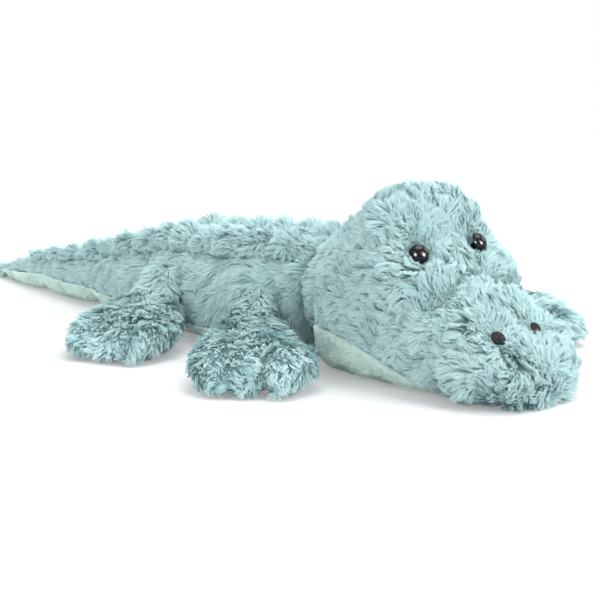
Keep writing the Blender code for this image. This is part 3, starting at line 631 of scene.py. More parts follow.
def grow_pile(name, surface, count, keep, nap, look, seed, material=None):
    """Locks of pile on a surface. keep says which roots stay, nap gives the way that they lie."""
    dice = np.random.default_rng(seed)
    roots, normals = scatter(surface, count, dice)
    stay = keep(roots, normals)
    roots, normals = roots[stay], normals[stay]
    lie = nap(roots, normals)
    lie = unit(lie - normals * np.sum(lie * normals, axis=1, keepdims=True))
    small = gather(roots, look["small_share"], dice)
    large = gather(roots, look["large_share"], dice)
    total = len(roots)

    def varied(*spreads):
        """Random numbers that the strands of a large lock share, those of a small one, and their own."""
        return sum(
            (dice.random(total) * 2 - 1)[leaders] * spread
            for leaders, spread in zip((large, small, slice(None)), spreads) if spread is not None
        )

    turn = swirl(roots, look["swirl_size"], seed + 1) * look["swirl"]
    turn += varied(look["turn"], look["turn"] / 2, OWN_TURN)
    across = np.cross(normals, lie)
    way = lie * np.cos(turn)[:, None] + across * np.sin(turn)[:, None]
    side = np.cross(normals, way)
    length = look["length"] * (1 + varied(*LENGTH_SPREAD))
    length *= 1 + look["lumps"] * swirl(roots, look["lump_size"], seed + 3)
    if "scale" in look:
        length *= look["scale"](roots, normals)
    start = look["start_lean"] + varied(*START_SPREAD)
    finish = look["end_lean"] + varied(*FINISH_SPREAD)
    wave_phase = varied(*PHASE_SPREAD)
    wave_count = look["waves"] * (1 + varied(*WAVE_SPREAD))
    spine = np.empty((len(PILE_SPOTS), total, 3))
    spine[0] = roots
    before = 0.0
    for spot, share in enumerate(PILE_SPOTS[1:], 1):
        middle = (share + before) / 2
        lean = start + (finish - start) * middle
        way_here = normals * np.cos(lean)[:, None] + way * np.sin(lean)[:, None]
        spine[spot] = spine[spot - 1] + way_here * (length * (share - before))[:, None]
        before = share
    for spot, share in enumerate(PILE_SPOTS):
        swing = look["curl"] * share * np.sin(2 * pi * wave_count * share + wave_phase)
        lift = look["curl"] * 0.5 * share * np.cos(2 * pi * wave_count * share + wave_phase)
        spine[spot] += side * swing[:, None] + normals * lift[:, None]
    for leaders, hold in ((small, look["small_hold"]), (large, look["large_hold"])):
        for spot, share in enumerate(PILE_SPOTS):
            pull = hold * share ** HOLD_POWER
            spine[spot] = spine[spot] * (1 - pull) + spine[spot][leaders] * pull
    spine[:, :, 2] = np.maximum(spine[:, :, 2], FLOOR_GAP)
    tone_and_painted_shading = TINT_MIDDLE + varied(*TINT_SPREAD)
    tone_and_painted_shading += TINT_DRIFT * swirl(roots, TINT_DRIFT_SIZE, seed + 2)
    # A look may paint shade into the colour here: a positive value paints the strands darker as shade, and
    # a negative one paints them paler as painted light.
    if "shade" in look:
        tone_and_painted_shading -= look["shade"](roots)
    tone_and_painted_shading = np.clip(tone_and_painted_shading, 0.02, 0.98)
    width = look["width"] * (WIDTH_LEAST + WIDTH_SPREAD * dice.random(total))
    roll = (dice.random(total) * 2 - 1) * look["roll"]
    return weave_ribbons(name, spine, normals, width, roll, tone_and_painted_shading, material or plush_pile)


def weave_ribbons(name, spine, normals, width, roll, tone_and_painted_shading, material):
    """One tapered ribbon of faces along each strand's spine, with its colours laid out in its UV map."""
    spots, total, _ = spine.shape
    rails = spots - 1
    points = np.empty((total, 2 * rails + 1, 3), np.float32)
    for spot in range(rails):
        ahead = unit(spine[spot + 1] - spine[max(spot - 1, 0)])
        flat = unit(np.cross(ahead, normals))
        lifted = np.cross(flat, ahead)
        edge = flat * np.cos(roll)[:, None] + lifted * np.sin(roll)[:, None]
        half = width / 2 * (1 - RIBBON_TAPER * PILE_SPOTS[spot] ** 2)
        points[:, 2 * spot] = spine[spot] - edge * half[:, None]
        points[:, 2 * spot + 1] = spine[spot] + edge * half[:, None]
    points[:, -1] = spine[-1]
    corners, heights, starts = [], [], []
    for spot in range(rails - 1):
        starts.append(len(corners))
        corners += [2 * spot, 2 * spot + 1, 2 * spot + 3, 2 * spot + 2]
        heights += [spot, spot, spot + 1, spot + 1]
    starts.append(len(corners))
    corners += [2 * rails - 2, 2 * rails - 1, 2 * rails]
    heights += [rails - 1, rails - 1, rails]
    per_strand = 2 * rails + 1
    base = np.arange(total)[:, None]
    loops = (np.array(corners) + base * per_strand).ravel()
    loop_starts = (np.array(starts) + base * len(corners)).ravel()
    mesh = bpy.data.meshes.new(name)
    mesh.vertices.add(total * per_strand)
    mesh.vertices.foreach_set("co", points.ravel())
    mesh.loops.add(len(loops))
    mesh.loops.foreach_set("vertex_index", loops.astype(np.int32))
    mesh.polygons.add(len(loop_starts))
    mesh.polygons.foreach_set("loop_start", loop_starts.astype(np.int32))
    mesh.update(calc_edges=True)
    places = np.empty((total, len(corners), 2), np.float32)
    places[:, :, 0] = tone_and_painted_shading[:, None]
    places[:, :, 1] = np.array([PILE_SPOTS[height] for height in heights])
    mesh.uv_layers.new(name="OFBake").data.foreach_set("uv", places.ravel())
    mesh.polygons.foreach_set("use_smooth", np.ones(len(mesh.polygons), bool))
    mesh.materials.append(material)
    piece = bpy.data.objects.new(name, mesh)
    bpy.context.collection.objects.link(piece)
    return piece


BODY_LOOK = {
    "length": 0.0088, "width": 0.00054, "roll": radians(16),
    "start_lean": radians(52), "end_lean": radians(84), "curl": 0.0008,
    "waves": 0.8, "turn": radians(26), "swirl": radians(36), "swirl_size": 0.022,
    "small_share": 0.160, "large_share": 0.022, "small_hold": 0.30, "large_hold": 0.12,
    "lumps": 0.20, "lump_size": 0.011,
}
HEAD_LOOK = dict(
    BODY_LOOK, length=0.0108, width=0.00048, roll=radians(24), start_lean=radians(38), end_lean=radians(80),
    turn=radians(40), swirl=radians(58), swirl_size=0.015, small_share=0.170, large_share=0.018,
    large_hold=0.30, small_hold=0.42, curl=0.0016, waves=1.0, lumps=0.16,
)
TAIL_END_X = -0.255
TAIL_END_RUN = 0.040
TAIL_END_GAIN = 0.7
TAIL_CAP_SHARE = 0.75


def tail_scale(points, normals):
    """The pile is left longer towards the tail's tip, and is clipped on its very end."""
    near = np.clip((TAIL_END_X - points[:, 0]) / TAIL_END_RUN, 0, 1)
    return (1 + TAIL_END_GAIN * near) * (1 - TAIL_CAP_SHARE * np.clip(-normals[:, 0], 0, 1) * near)


TAIL_LOOK = dict(BODY_LOOK, length=0.0076, scale=tail_scale)
# The ridges' pile is painted paler all over, as painted light on the top of the back.
RIDGE_PAINTED_LIGHT = -0.22
RIDGE_LOOK = dict(
    BODY_LOOK, length=0.0086, start_lean=radians(30), end_lean=radians(70), turn=radians(46),
    small_hold=0.26, large_hold=0.14, large_share=0.030, swirl=radians(50), swirl_size=0.014,
    shade=lambda points: np.full(len(points), RIDGE_PAINTED_LIGHT),
)
LEG_LOOK = dict(
    BODY_LOOK, length=0.0096, width=0.00050, roll=radians(20), start_lean=radians(38), end_lean=radians(80),
    turn=radians(40), swirl=radians(56), swirl_size=0.014, curl=0.0015, waves=1.0, small_share=0.180,
    large_share=0.030, small_hold=0.46, large_hold=0.24,
)
PILE_DENSITY = 1.75e6
HEAD_DENSITY = 1.35
NECK_DENSITY = 0.5
UNDER_LEG_SHARE = 3
EYE_CLEARANCE = 0.0070
NOSTRIL_CLEARANCE = 0.0058
CUT_CLEARANCE = 0.0003
BODY_ROOM = 0.001
RIDGE_ROOM = 0.0002


def pile_count(surface, share=1.0):
    """How many strands a surface takes."""
    return int(sum(face.area for face in surface.data.polygons) * PILE_DENSITY * share)


def ride_pile(piece, body):
    """Let a piece of pile ride on a body."""
    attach(piece, body)


def steady_nap(*way):
    """A nap that runs the same way everywhere."""
    return lambda points, normals: np.tile(way, (len(points), 1))


def grown(distance, start, run, least):
    """The share of its full length that pile has at a distance from where it is clipped."""
    return np.clip((distance - start) / run, least, 1)


def nearest(points, centres):
    """How far each point lies from the nearest of the centres."""
    return np.min([np.linalg.norm(points - np.array(centre), axis=1) for centre in centres], axis=0)


# Head
# The head is one sewn cover, with the longest and wildest pile of the toy. The pile is clipped and
# brushed away where the eyes and nostrils go, and clipped along the jaw seam and the cheeks' folds.

MUZZLE_X = NOSE_X - 0.064
CROWN_Z = 0.084
PANEL_FRONT_X = 0.246
HEAD_FLATNESS = (1, 1, 0.8)
BRUSHED = ((EYES, 0.022), (NOSTRILS, 0.013))
BRUSH_HOLD = 0.8
BRUSH_PUSH = 1.2
EYE_CLIP = (0.006, 0.010, 0.36)
NOSTRIL_CLIP = (0.005, 0.012, 0.28)
JAW_CLIP = (-0.008, 0.020, 0.40)
NECK_CLIP = (-0.010, 0.040, 0.25)
CREASE_CLIP = 0.65
# How much darker the pile is painted along a cheek's fold, as painted shade.
CREASE_PAINTED_SHADE = 0.6


def head_nap(points, normals):
    """The nap starts under the nose and runs back, and is brushed away round the eyes and nostrils."""
    way = unit(points - np.array(NAP_START)) * np.array(HEAD_FLATNESS)
    for centres, reach in BRUSHED:
        for centre in centres:
            from_centre = points - np.array(centre)
            near = np.exp(-(np.linalg.norm(from_centre, axis=1, keepdims=True) / reach) ** 2)
            way = way * (1 - BRUSH_HOLD * near) + unit(from_centre) * near * BRUSH_PUSH
    return way


def head_scale(points, normals):
    """The pile is clipped short round eyes, nostrils and jaw, and pulled in along each cheek's fold."""
    by_jaw = grown(reach_to(points, frame["nodes"]["jaw_gusset"]), *JAW_CLIP)
    scale = np.where(points[:, 0] < PANEL_FRONT_X, by_jaw, 1)
    scale *= grown(nearest(points, EYES), *EYE_CLIP) * grown(nearest(points, NOSTRILS), *NOSTRIL_CLIP)
    scale *= grown(points[:, 0] - HEAD_REAR_X, *NECK_CLIP)
    return scale * (1 - CREASE_CLIP * by_crease(points, CREASE_CLIP_REACH))


def head_painted_shade(points):
    """The pile's colour is painted darker along a cheek's fold, as shade down in it."""
    return CREASE_PAINTED_SHADE * by_crease(points)


HEAD_LOOK["scale"] = head_scale
HEAD_LOOK["shade"] = head_painted_shade


def head_keep(low_x, high_x, low_z, high_z, side):
    """A test for the roots of one part of the head."""
    def keep(points, normals):
        stay = (points[:, 0] > low_x) & (points[:, 0] <= high_x)
        stay &= (points[:, 2] > low_z) & (points[:, 2] <= high_z)
        if side:
            stay &= points[:, 1] * side > 0
        stay &= (nearest(points, EYES) > EYE_CLEARANCE) & (nearest(points, NOSTRILS) > NOSTRIL_CLEARANCE)
        picked = np.flatnonzero(stay)
        raised = points[picked] + normals[picked] * PILE_STAND
        to_skin, to_jaw = (reach_to(raised, frame["nodes"][node]) for node in ("head_skin", "jaw_gusset"))
        stay[picked] = (to_skin <= to_jaw) & ~within(points[picked], neck_backing, BODY_ROOM)
        return stay
    return keep


head_parts = {
    "muzzle_pile": head_keep(MUZZLE_X, 1, 0, 1, 0),
    "crown_pile": head_keep(-1, MUZZLE_X, CROWN_Z, 1, 0),
    "cheek_pile_left": head_keep(-1, MUZZLE_X, 0, CROWN_Z, 1),
    "cheek_pile_right": head_keep(-1, MUZZLE_X, 0, CROWN_Z, -1),
}
head_count = pile_count(head_backing, HEAD_DENSITY)
for seed, (name, keep) in enumerate(head_parts.items(), 11):
    ride_pile(grow_pile(name, head_backing, head_count, keep, head_nap, HEAD_LOOK, seed), "head")
cover(head_backing, "head", "plush", "head_skin")


# Neck
# Head and torso meet in a fold of plush. The pile on both sides closes over it, so the neck carries
# pile only where the two leave it bare.

NECK_REAR_LAP = 0.004
NECK_FRONT_LAP = 0.006
back_nap = steady_nap(-1.0, 0, -0.40)


def neck_keep(points, normals):
    """Roots of the neck where head and torso leave it bare."""
    return (points[:, 0] > TORSO_FRONT_X - NECK_REAR_LAP) & (points[:, 0] < HEAD_REAR_X + NECK_FRONT_LAP)


neck_count = pile_count(neck_backing, NECK_DENSITY)
ride_pile(grow_pile("neck_pile", neck_backing, neck_count, neck_keep, back_nap, BODY_LOOK, 21), "neck")
cover(neck_backing, "neck", "plush", "neck_skin")


# Torso and tail
# One long cover runs from the neck to the tip of the tail. Its pile lies back and a little down, and
# ends at the seam to the pale gusset. It is made in lengths, cut where the tail moves.


def length_keep(low_x, high_x, side=0):
    """A test for the roots of one length of torso or tail: above the seam, clear of legs and ridges."""
    def keep(points, normals):
        stay = (points[:, 0] > low_x + CUT_CLEARANCE) & (points[:, 0] < high_x - CUT_CLEARANCE)
        if side:
            stay &= points[:, 1] * side >= 0
        raised = points + normals * PILE_STAND
        stay &= raised[:, 2] > seam_level(raised[:, 0])
        picked = np.flatnonzero(stay)
        hidden = np.zeros(len(picked), bool)
        for shape in (*leg_backings.values(), neck_backing):
            hidden |= within(points[picked], shape, BODY_ROOM)
        for ridge in ridge_backings.values():
            hidden |= within(points[picked], ridge, RIDGE_ROOM)
        stay[picked] = ~hidden
        return stay
    return keep


lengths = {
    "torso_pile_left": (torso_backing, length_keep(HIP_SPLIT_X, 1, 1)),
    "torso_pile_right": (torso_backing, length_keep(HIP_SPLIT_X, 1, -1)),
}
for word, (rear_x, front_x) in TAIL_CUTS.items():
    lengths[word + "_pile"] = (tail_backings[word], length_keep(-1 if rear_x is None else rear_x, front_x))
long_piles = {}
for seed, (name, (surface, keep)) in enumerate(lengths.items(), 31):
    look = TAIL_LOOK if "tail" in name else BODY_LOOK
    long_piles[name] = grow_pile(name, surface, pile_count(surface), keep, back_nap, look, seed)


def bend(piece, word):
    """Bake a piece of the tail's place into its mesh. The joint it crosses is looked up, but nothing bends
    the piece there.
    """
    parent, child = TAIL_LINKS[word]
    x = JOINT_X[child]
    x + BEND_RUN
    x - BEND_RUN
    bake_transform(piece)


cover(torso_backing, "torso", "plush", "torso_skin")
ride_pile(long_piles["torso_pile_left"], "torso")
ride_pile(long_piles["torso_pile_right"], "torso")
for word, (_, child) in TAIL_LINKS.items():
    bend(tail_backings[word], word)
    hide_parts(child + "_skin")
    bend(long_piles[word + "_pile"], word)


# Back ridges
# The bumps' own pile stands up and out to the sides, long on each bump and short in the dips, so
# that the two rows read as soft scales.

RIDGE_NAP = (-1, 0.6, -0.1)
RIDGE_UNDERSIDE = -0.3
RIDGE_LEAST = 0.30
RIDGE_MOST = 1.10
RIDGE_GAIN = 0.85


def ridge_nap(points, normals):
    """The pile of the ridges stands out to each side and back."""
    way = np.tile(RIDGE_NAP, (len(points), 1))
    way[:, 1] *= np.sign(points[:, 1])
    return way


def ridge_keep(points, normals):
    """Roots on the upper faces of the ridges, where they stand clear of the back."""
    stay = normals[:, 2] > RIDGE_UNDERSIDE
    picked = np.flatnonzero(stay)
    stay[picked] = ~within(points[picked], long_shape, RIDGE_ROOM)
    return stay


def ridge_scale(points, normals):
    """The pile is long on the bumps and short in the dips between them."""
    rise = RIDGE_LEAST + RIDGE_GAIN * reach_to(points, long_shape) / RIDGE_TOP
    return np.clip(rise, RIDGE_LEAST, RIDGE_MOST) * tail_scale(points, normals)


RIDGE_LOOK["scale"] = ridge_scale
ridge_piles = {}
for seed, (word, surface) in enumerate(ridge_backings.items(), 41):
    name, count = word + "_ridge_pile", pile_count(surface)
    ridge_piles[word] = grow_pile(name, surface, count, ridge_keep, ridge_nap, RIDGE_LOOK, seed)
ride_pile(ridge_piles["torso"], "torso")
cover(ridge_backings["torso"], "torso", "plush", "torso_ridge_left", "torso_ridge_right")
for word, (_, child) in TAIL_LINKS.items():
    bend(ridge_piles[word], word)
    bend(ridge_backings[word], word)
    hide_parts(child + "_ridge_left", child + "_ridge_right")


# Legs
# Each leg is a small stuffed bag, sewn to the torso at its root. Two lines of stitches draw the paw
# in and part it into three toes.

TOE_SHARE = 1 / 3
TOE_DEPTH = 0.036
TOE_GROOVE = 0.0040
TOE_LINE_REACH = 0.0042
TOE_LINE_RUN = 0.008
PAW_SHARE = 0.52
PAW_MIX = 0.007
TOE_CLIP = 0.75
# How much darker the pile is painted along the lines between the toes, as painted shade.
TOE_PAINTED_SHADE = 0.4
LEG_HANG = -0.45
LEG_UNDERSIDE = -0.5


def leg_frame(leg):
    """The root of a leg, the ways along and across it, how far out its tip is, and half its width."""
    joint = next(joint for joint in frame["joints"] if joint["child"] == leg)
    x, y, _ = joint["axis"]
    root, along, across = np.array(joint["pos_m"]), np.array((-y, x, 0)), np.array((x, y, 0))
    skin = positions(frame["nodes"][leg + "_skin"]) - root
    return root, along, across, (skin @ along).max(), np.abs(skin @ across).max()


def leg_nap(leg):
    """The nap of a leg runs out along it and hangs down at the toes."""
    root = leg_frame(leg)[0]

    def nap(points, normals):
        way = unit(points - root)
        way[:, 2] = LEG_HANG
        return way
    return nap


def by_toe_lines(leg, points):
    """How near each point lies to the stitched lines that part the toes, 1 on them and 0 away from them."""
    root, along, across, tip, half_width = leg_frame(leg)
    apart = np.abs(np.abs((points - root) @ across) - half_width * TOE_SHARE)
    ahead = (points - root) @ along - tip + TOE_DEPTH
    return np.exp(-(apart / TOE_LINE_REACH) ** 2) * np.clip(ahead / TOE_LINE_RUN, 0, 1)


def leg_keep(leg, paw):
    """A test for the roots of a leg's paw or of the rest of it: outside the torso, few on the floor."""
    root, along, _, tip, _ = leg_frame(leg)

    def keep(points, normals):
        mix = np.random.default_rng(len(points)).normal(size=len(points)) * PAW_MIX
        stay = ((points - root) @ along + mix > tip * PAW_SHARE) == paw
        stay &= (normals[:, 2] > LEG_UNDERSIDE) | (np.arange(len(points)) % UNDER_LEG_SHARE == 0)
        picked = np.flatnonzero(stay)
        stay[picked] = ~within(points[picked], long_shape, RIDGE_ROOM)
        return stay
    return keep


def paw_look(leg):
    """The paw's pile is drawn in along the lines between the toes, and painted darker there, as shade in
    the clefts.
    """
    return dict(
        LEG_LOOK, scale=lambda points, normals: 1 - TOE_CLIP * by_toe_lines(leg, points),
        shade=lambda points: TOE_PAINTED_SHADE * by_toe_lines(leg, points),
    )


for seed, (leg, surface) in enumerate(leg_backings.items(), 51):
    push(surface, -TOE_GROOVE * by_toe_lines(leg, positions(surface)))
    for name, paw, look, leg_seed, material in (
        ("_pile", False, BODY_LOOK, seed, plush_pile),
        ("_paw_pile", True, paw_look(leg), seed + 20, leg_pile),
    ):
        keep, count = leg_keep(leg, paw), pile_count(surface)
        ride_pile(grow_pile(leg + name, surface, count, keep, leg_nap(leg), look, leg_seed, material), leg)
    cover(surface, leg, "plush", leg + "_skin")

for surface in (
    head_backing, neck_backing, torso_backing, *tail_backings.values(), *ridge_backings.values(),
    *leg_backings.values(),
):
    surface.data.materials.append(backing.material)

# Pale gussets
# Jaw, belly and the underside of the tail are one pale, short-pile plush. Its panels are sewn to the
# long pile along each side, and the seam lies in a shallow furrow.

PALE_COLOUR = (0.720, 0.895, 0.840)
PALE_SHADE = (0.640, 0.830, 0.770)
PALE_SPECK_SCALE = 420
PALE_PATCH_SCALE = 60
PALE_SPECK_SHARE = 0.6
PALE_BUMP = 0.0007
GUSSET_VOXEL = 0.0020
GUSSET_ROUNDS = 6
JAW_SHRINK = 0.0006
PANEL_UNDERSIDE = -0.9
# Each row runs from a slightly darker root to a paler tip, as painted shade among the short pile and
# painted light on its tips.
PALE_PILE_DARK = ((0.620, 0.810, 0.750), (0.690, 0.870, 0.815), (0.740, 0.905, 0.855))
PALE_PILE_PALE = ((0.660, 0.845, 0.790), (0.740, 0.905, 0.855), (0.800, 0.945, 0.905))
PALE_DENSITY = 1.25
PANEL_SINK = 0.0006
PANEL_DEPTH = 0.0016

pale = Shading(
    "pale_short_pile", Roughness=0.9, Sheen_Weight=0.5, Sheen_Roughness=0.4, Specular_IOR_Level=0.2,
)
pale_speck = pale.noise(PALE_SPECK_SCALE, 3, 0.6)
pale_mix = pale_speck * PALE_SPECK_SHARE + pale.noise(PALE_PATCH_SCALE, 3) * (1 - PALE_SPECK_SHARE)
pale.feed("Base Color", pale.mix(pale_mix, PALE_SHADE, PALE_COLOUR))
pale.bump(pale_speck, PALE_BUMP)

jaw_panel = stuffed_shape("jaw_panel", ["jaw_gusset"], GUSSET_VOXEL, GUSSET_ROUNDS, JAW_SHRINK)
cover(jaw_panel, "head", "pale_plush", "jaw_gusset")
under_shape = cut_length("under_shape", long_shape, None, TORSO_CUT_X)
apply_step(under_shape, "DISPLACE", strength=PILE_STAND - PANEL_SINK, mid_level=0)
under = bmesh.new()
under.from_mesh(under_shape.data)
above = [v for v in under.verts if v.co.z > seam_level(v.co.x) + PLUSH_VOXEL]
bmesh.ops.delete(under, geom=above, context="VERTS")
for vertex in under.verts:
    if vertex.is_boundary:
        vertex.co.z = seam_level(vertex.co.x)
under.to_mesh(under_shape.data)
under.free()
keep_largest(under_shape)
apply_step(under_shape, "SOLIDIFY", thickness=PANEL_DEPTH, offset=-1)
belly_panel = cut_length("belly_panel", under_shape, HIP_SPLIT_X, None)
cover(belly_panel, "torso", "pale_plush", "belly_gusset")
tail_panels = cut_tail("panel", under_shape)
for guide in (under_shape, long_shape, ridge_rows):
    bpy.data.objects.remove(guide)
for word, (_, child) in TAIL_LINKS.items():
    bend(tail_panels[word], word)
    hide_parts(child + "_gusset")
for panel in (jaw_panel, belly_panel, *tail_panels.values()):
    panel.data.materials.append(pale.material)

pale_pile = pile_material("pale_pile", PALE_PILE_DARK, PALE_PILE_PALE, 0.9)
PALE_LOOK = dict(
    BODY_LOOK, length=0.0018, width=0.00042, start_lean=radians(20), end_lean=radians(62), curl=0.0002,
    swirl_size=0.012, swirl=radians(70),
)


def panel_keep(points, normals):
    """Roots on the outer face of a panel, where it doesn't lie on the floor."""
    outward = normals[:, 1] * np.sign(points[:, 1]) - normals[:, 2]
    return (outward > 0) & (normals[:, 2] > PANEL_UNDERSIDE)


def fuzz(name, panel, seed):
    """Short pile for a pale panel, brushed back."""
    count = pile_count(panel, PALE_DENSITY)
    return grow_pile(name, panel, count, panel_keep, steady_nap(-1.0, 0, 0), PALE_LOOK, seed, pale_pile)


ride_pile(fuzz("jaw_fuzz", jaw_panel, 61), "head")
for seed, word in enumerate(TAIL_LINKS, 62):
    bend(fuzz(word + "_fuzz", tail_panels[word], seed), word)

# Eyes
# Each eye is a safety eye: a black acrylic dome on a ribbed stem, pushed through the plush before it
# is stuffed, and locked from inside with a nylon washer.

EYE_BLACK = (0.0035, 0.0035, 0.0045)
EYE_HAZE = (0.0060, 0.0060, 0.0070)
EYE_RADIUS = 0.0072
EYE_HEIGHT = 0.0058
EYE_BACK_SHARE = 0.12
EYE_SHIFT = (0.0038, 0.0008, -0.0006)
EYE_OUT = (0.80, 0.36, 0.48)
EYE_SEGMENTS = 48
EYE_RINGS = 24
EYE_EDGE = radians(50)
HAZE_SCALE = 700
STEM_RADIUS = 0.0021
STEM_RIBS = 6
STEM_SEGMENTS = 24
RIB_PITCH = 0.0020
RIB_RISE = 1.22
WASHER_RADIUS = 0.0050
WASHER_LEVEL = 0.0075
WASHER_FLATNESS = 0.35
WASHER_SEGMENTS = 48
WASHER_RINGS = 12
WASHER_MOTTLE_SCALE = 300
WASHER_COLOUR = (0.78, 0.78, 0.77)
WASHER_SHADE = (0.70, 0.70, 0.69)

acrylic = Shading("black_acrylic", Roughness=0.04, Specular_IOR_Level=0.32)
acrylic.feed("Base Color", acrylic.mix(acrylic.noise(HAZE_SCALE, 2), EYE_BLACK, EYE_HAZE))
nylon = Shading("white_nylon", Roughness=0.45)
nylon.feed("Base Color", nylon.mix(nylon.noise(WASHER_MOTTLE_SCALE, 2), WASHER_SHADE, WASHER_COLOUR))


def dome_base(side):
    """The middle of the base of a CAD eye's dome."""
    middle = node_middle("eye_washer_" + side)
    eye = frame["nodes"]["eye_" + side]
    top = max((v.co for v in eye.data.vertices), key=lambda co: (co - middle).length)
    return top - (top - middle).normalized() * EYE_HEIGHT


def facing(way, sign):
    """A way given for the left side, mirrored where the sign is -1, and made one long."""
    return (Vector(way) * Vector((1, sign, 1))).normalized()


def stand_on(piece, place, out):
    """Turn a piece that was made along Z to face out at a place."""
    piece.rotation_mode = "QUATERNION"
    piece.rotation_quaternion = out.to_track_quat("Z", "Y")
    piece.location = place
    settle(piece)
    piece.data.shade_smooth()


for side, sign in (("left", 1), ("right", -1)):
    centre = dome_base(side) + Vector(EYE_SHIFT) * Vector((1, sign, 1))
    stem_out = (dome_base(side) - node_middle("eye_washer_" + side)).normalized()
    deselect()
    bpy.ops.mesh.primitive_uv_sphere_add(segments=EYE_SEGMENTS, ring_count=EYE_RINGS, radius=1)
    dome = bpy.context.object
    dome.name = dome.data.name = "eye_dome_" + side
    for vertex in dome.data.vertices:
        if vertex.co.z < 0:
            vertex.co.z *= EYE_BACK_SHARE
    dome.scale = (EYE_RADIUS, EYE_RADIUS, EYE_HEIGHT)
    settle(dome)
    ribs = []
    for rib in range(STEM_RIBS):
        bpy.ops.mesh.primitive_cone_add(
            vertices=STEM_SEGMENTS, radius1=STEM_RADIUS, radius2=STEM_RADIUS * RIB_RISE, depth=RIB_PITCH,
            location=(0, 0, -RIB_PITCH * (rib + 0.5)),
        )
        ribs.append(bpy.context.object)
    for rib in ribs:
        settle(rib)
        stand_on(rib, centre, stem_out)
    stand_on(dome, centre, facing(EYE_OUT, sign))
    pick(*ribs, dome)
    bpy.ops.object.join()
    apply_step(dome, "EDGE_SPLIT", split_angle=EYE_EDGE)
    dome.data.materials.append(acrylic.material)
    cover(dome, "head", "gloss_black", "eye_" + side)

    deselect()
    bpy.ops.mesh.primitive_torus_add(
        major_radius=WASHER_RADIUS, minor_radius=WASHER_RADIUS - STEM_RADIUS * RIB_RISE,
        major_segments=WASHER_SEGMENTS, minor_segments=WASHER_RINGS,
    )
    washer = bpy.context.object
    washer.name = washer.data.name = "eye_lock_washer_" + side
    washer.scale.z = WASHER_FLATNESS
    settle(washer)
    stand_on(washer, centre - stem_out * WASHER_LEVEL, stem_out)
    washer.data.materials.append(nylon.material)
    cover(washer, "head", "nylon", "eye_washer_" + side)

# Nostrils
# Each nostril is a pad of black satin stitch: rows of embroidery thread side by side, laid over a
# little padding so that the oval stands up in the middle.

THREAD_BLACK = (0.006, 0.006, 0.007)
# Grey of the painted sheen on the satin-stitch threads.
THREAD_PAINTED_SHEEN = (0.075, 0.068, 0.074)
NOSTRIL_LONG = 0.0055
NOSTRIL_SHORT = 0.0050
NOSTRIL_RISE = 0.0028
NOSTRIL_PROUD = 0.0024
NOSTRIL_OUT = (0.78, 0.22, 0.58)
NOSTRIL_SLANT = radians(35)
STITCHES = 13
STITCH_RISE = 0.00045
STITCH_WAVE = 0.5
PAD_COLUMNS = 96
PAD_ROWS = 32
THREAD_GRAIN = (900, 260, 500)

thread = Shading("black_thread", Roughness=0.75, Specular_IOR_Level=0.2)
thread_way = thread.node("ShaderNodeMapping", {}, {"Vector": thread.place(), "Scale": THREAD_GRAIN})
# Grey streaks stretched along the threads are painted sheen on the satin stitch.
thread_painted_sheen = thread.noise(1, 3, 0.6, thread_way)
thread.feed("Base Color", thread.ramp(thread_painted_sheen, (0.48, THREAD_BLACK), (0.72, THREAD_PAINTED_SHEEN)))
for side, sign in (("left", 1), ("right", -1)):
    out = facing(NOSTRIL_OUT, sign)
    deselect()
    bpy.ops.mesh.primitive_grid_add(x_subdivisions=PAD_COLUMNS, y_subdivisions=PAD_ROWS, size=2)
    pad = bpy.context.object
    pad.name = pad.data.name = "nostril_stitching_" + side
    for vertex in pad.data.vertices:
        x, y = vertex.co.x, vertex.co.y
        x, y = x * (1 - y * y / 2) ** 0.5, y * (1 - x * x / 2) ** 0.5
        rise = max(0, 1 - x * x - y * y) ** 0.5
        stitch = abs(sin(pi * (STITCHES * (x + 1) / 2 + STITCH_WAVE * sin(4 * y))))
        vertex.co = (x * NOSTRIL_LONG, y * NOSTRIL_SHORT, rise * NOSTRIL_RISE + stitch * STITCH_RISE * rise)
    pad.rotation_euler.z = sign * NOSTRIL_SLANT
    settle(pad)
    stand_on(pad, node_middle("nostril_" + side) + out * NOSTRIL_PROUD, out)
    apply_step(pad, "SOLIDIFY", thickness=NOSTRIL_PROUD, offset=-1)
    pad.data.materials.append(thread.material)
    cover(pad, "head", "black_thread", "nostril_" + side)

# Studio
# A white table under large soft lamps, with the camera where the photograph was taken. It turns pure
# white for the camera away from the toy, and keeps part of the shadow near it.

FLOOR_SIZE = 24
VIEW_AZIMUTH = radians(45.3)
VIEW_ELEVATION = radians(12.3)
VIEW_DISTANCE = 1.455
VIEW_TARGET = Vector((0.1376, -0.0743, 0.0582))
VIEW_LENS = 127.8
LAMPS = {
    "key": ((0.25, -1.55, 1.25), 1.1, 6),
    "fill": ((1.65, 0.15, 0.95), 0.9, 12),
    "top": ((0.1, 0.35, 1.7), 1.6, 22),
    "far": ((0.6, 1.6, 0.9), 1.0, 7),
    "glint_near": ((0.63, -1.38, 0.62), 0.8, 45),
    "glint_far": ((1.58, 0.43, 0.51), 0.8, 45),
}
EYE_ONLY_LAMPS = ("glint_near", "glint_far")
AMBIENT = 0.74
LAMP_TARGET = Vector((0.05, 0, 0.05))
FADE_START = 0.55
FADE_RATE = 1.4
NEAR_WHITE = 0.28

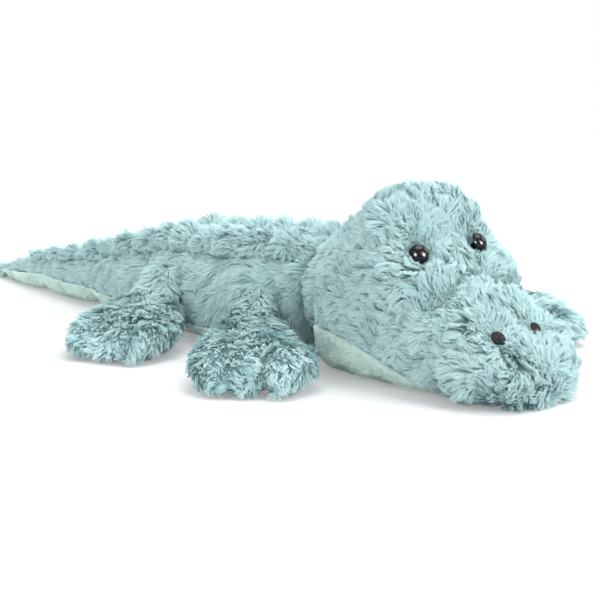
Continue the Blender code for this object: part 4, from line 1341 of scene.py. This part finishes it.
deselect()
bpy.ops.mesh.primitive_plane_add(size=FLOOR_SIZE)
floor = bpy.context.object
floor.name = floor.data.name = "floor"
table = Shading("white_table", Roughness=0.9, Base_Color=(0.80, 0.825, 0.835, 1), Specular_IOR_Level=0.1)
camera_ray = table.node("ShaderNodeLightPath", {}, {})
white = table.node("ShaderNodeEmission", {}, {"Color": (1, 1, 1, 1), "Strength": 1.0})
radius = table.node("ShaderNodeVectorMath", {"operation": "LENGTH"}, {0: table.place()}, 1)
far = ((radius - FADE_START) * FADE_RATE).clamped()
seen = camera_ray + camera_ray.output("Is Glossy Ray") + camera_ray.output("Is Transmission Ray")
blend_share = seen.clamped() * (far * (1 - NEAR_WHITE) + NEAR_WHITE)
lit = Wire(table, table.shader.outputs["BSDF"])
shown = table.node("ShaderNodeMixShader", {}, {0: blend_share, 1: lit, 2: white})
table.tree.links.new(shown.socket, table.tree.nodes["Material Output"].inputs["Surface"])
floor.data.materials.append(table.material)

world = bpy.data.worlds.new("studio")
bpy.context.scene.world = world
world.use_nodes = True
sky = world.node_tree
paths = sky.nodes.new("ShaderNodeLightPath")
reach = sky.nodes.new("ShaderNodeMath")
reach.operation = "MAXIMUM"
for index, ray in enumerate(("Is Camera Ray", "Is Transmission Ray")):
    sky.links.new(paths.outputs[ray], reach.inputs[index])
level = sky.nodes.new("ShaderNodeMapRange")
level.inputs["To Min"].default_value = AMBIENT
level.inputs["To Max"].default_value = 1.0
sky.links.new(reach.outputs[0], level.inputs["Value"])
sky.links.new(level.outputs[0], sky.nodes["Background"].inputs["Strength"])
sky.nodes["Background"].inputs["Color"].default_value = (1, 1, 1, 1)

for name, (place, size, power) in LAMPS.items():
    lamp = bpy.data.lights.new(name, "AREA")
    lamp.shape = "DISK"
    lamp.size = size
    lamp.energy = power
    lamp_object = bpy.data.objects.new(name, lamp)
    lamp_object.location = place
    lamp_object.visible_diffuse = name not in EYE_ONLY_LAMPS
    lamp_object.rotation_euler = (LAMP_TARGET - Vector(place)).to_track_quat("-Z", "Y").to_euler()
    bpy.context.collection.objects.link(lamp_object)

lens = bpy.data.cameras.new("camera")
lens.lens = VIEW_LENS
lens.sensor_width = 36
lens.sensor_fit = "HORIZONTAL"
camera = bpy.data.objects.new("camera", lens)
back = Vector((sin(VIEW_AZIMUTH), -cos(VIEW_AZIMUTH), 0)) * cos(VIEW_ELEVATION)
back.z = sin(VIEW_ELEVATION)
camera.location = VIEW_TARGET + back * VIEW_DISTANCE
camera.rotation_euler = back.to_track_quat("Z", "Y").to_euler()
bpy.context.collection.objects.link(camera)
bpy.context.scene.camera = camera
bpy.context.scene.view_settings.view_transform = "Standard"
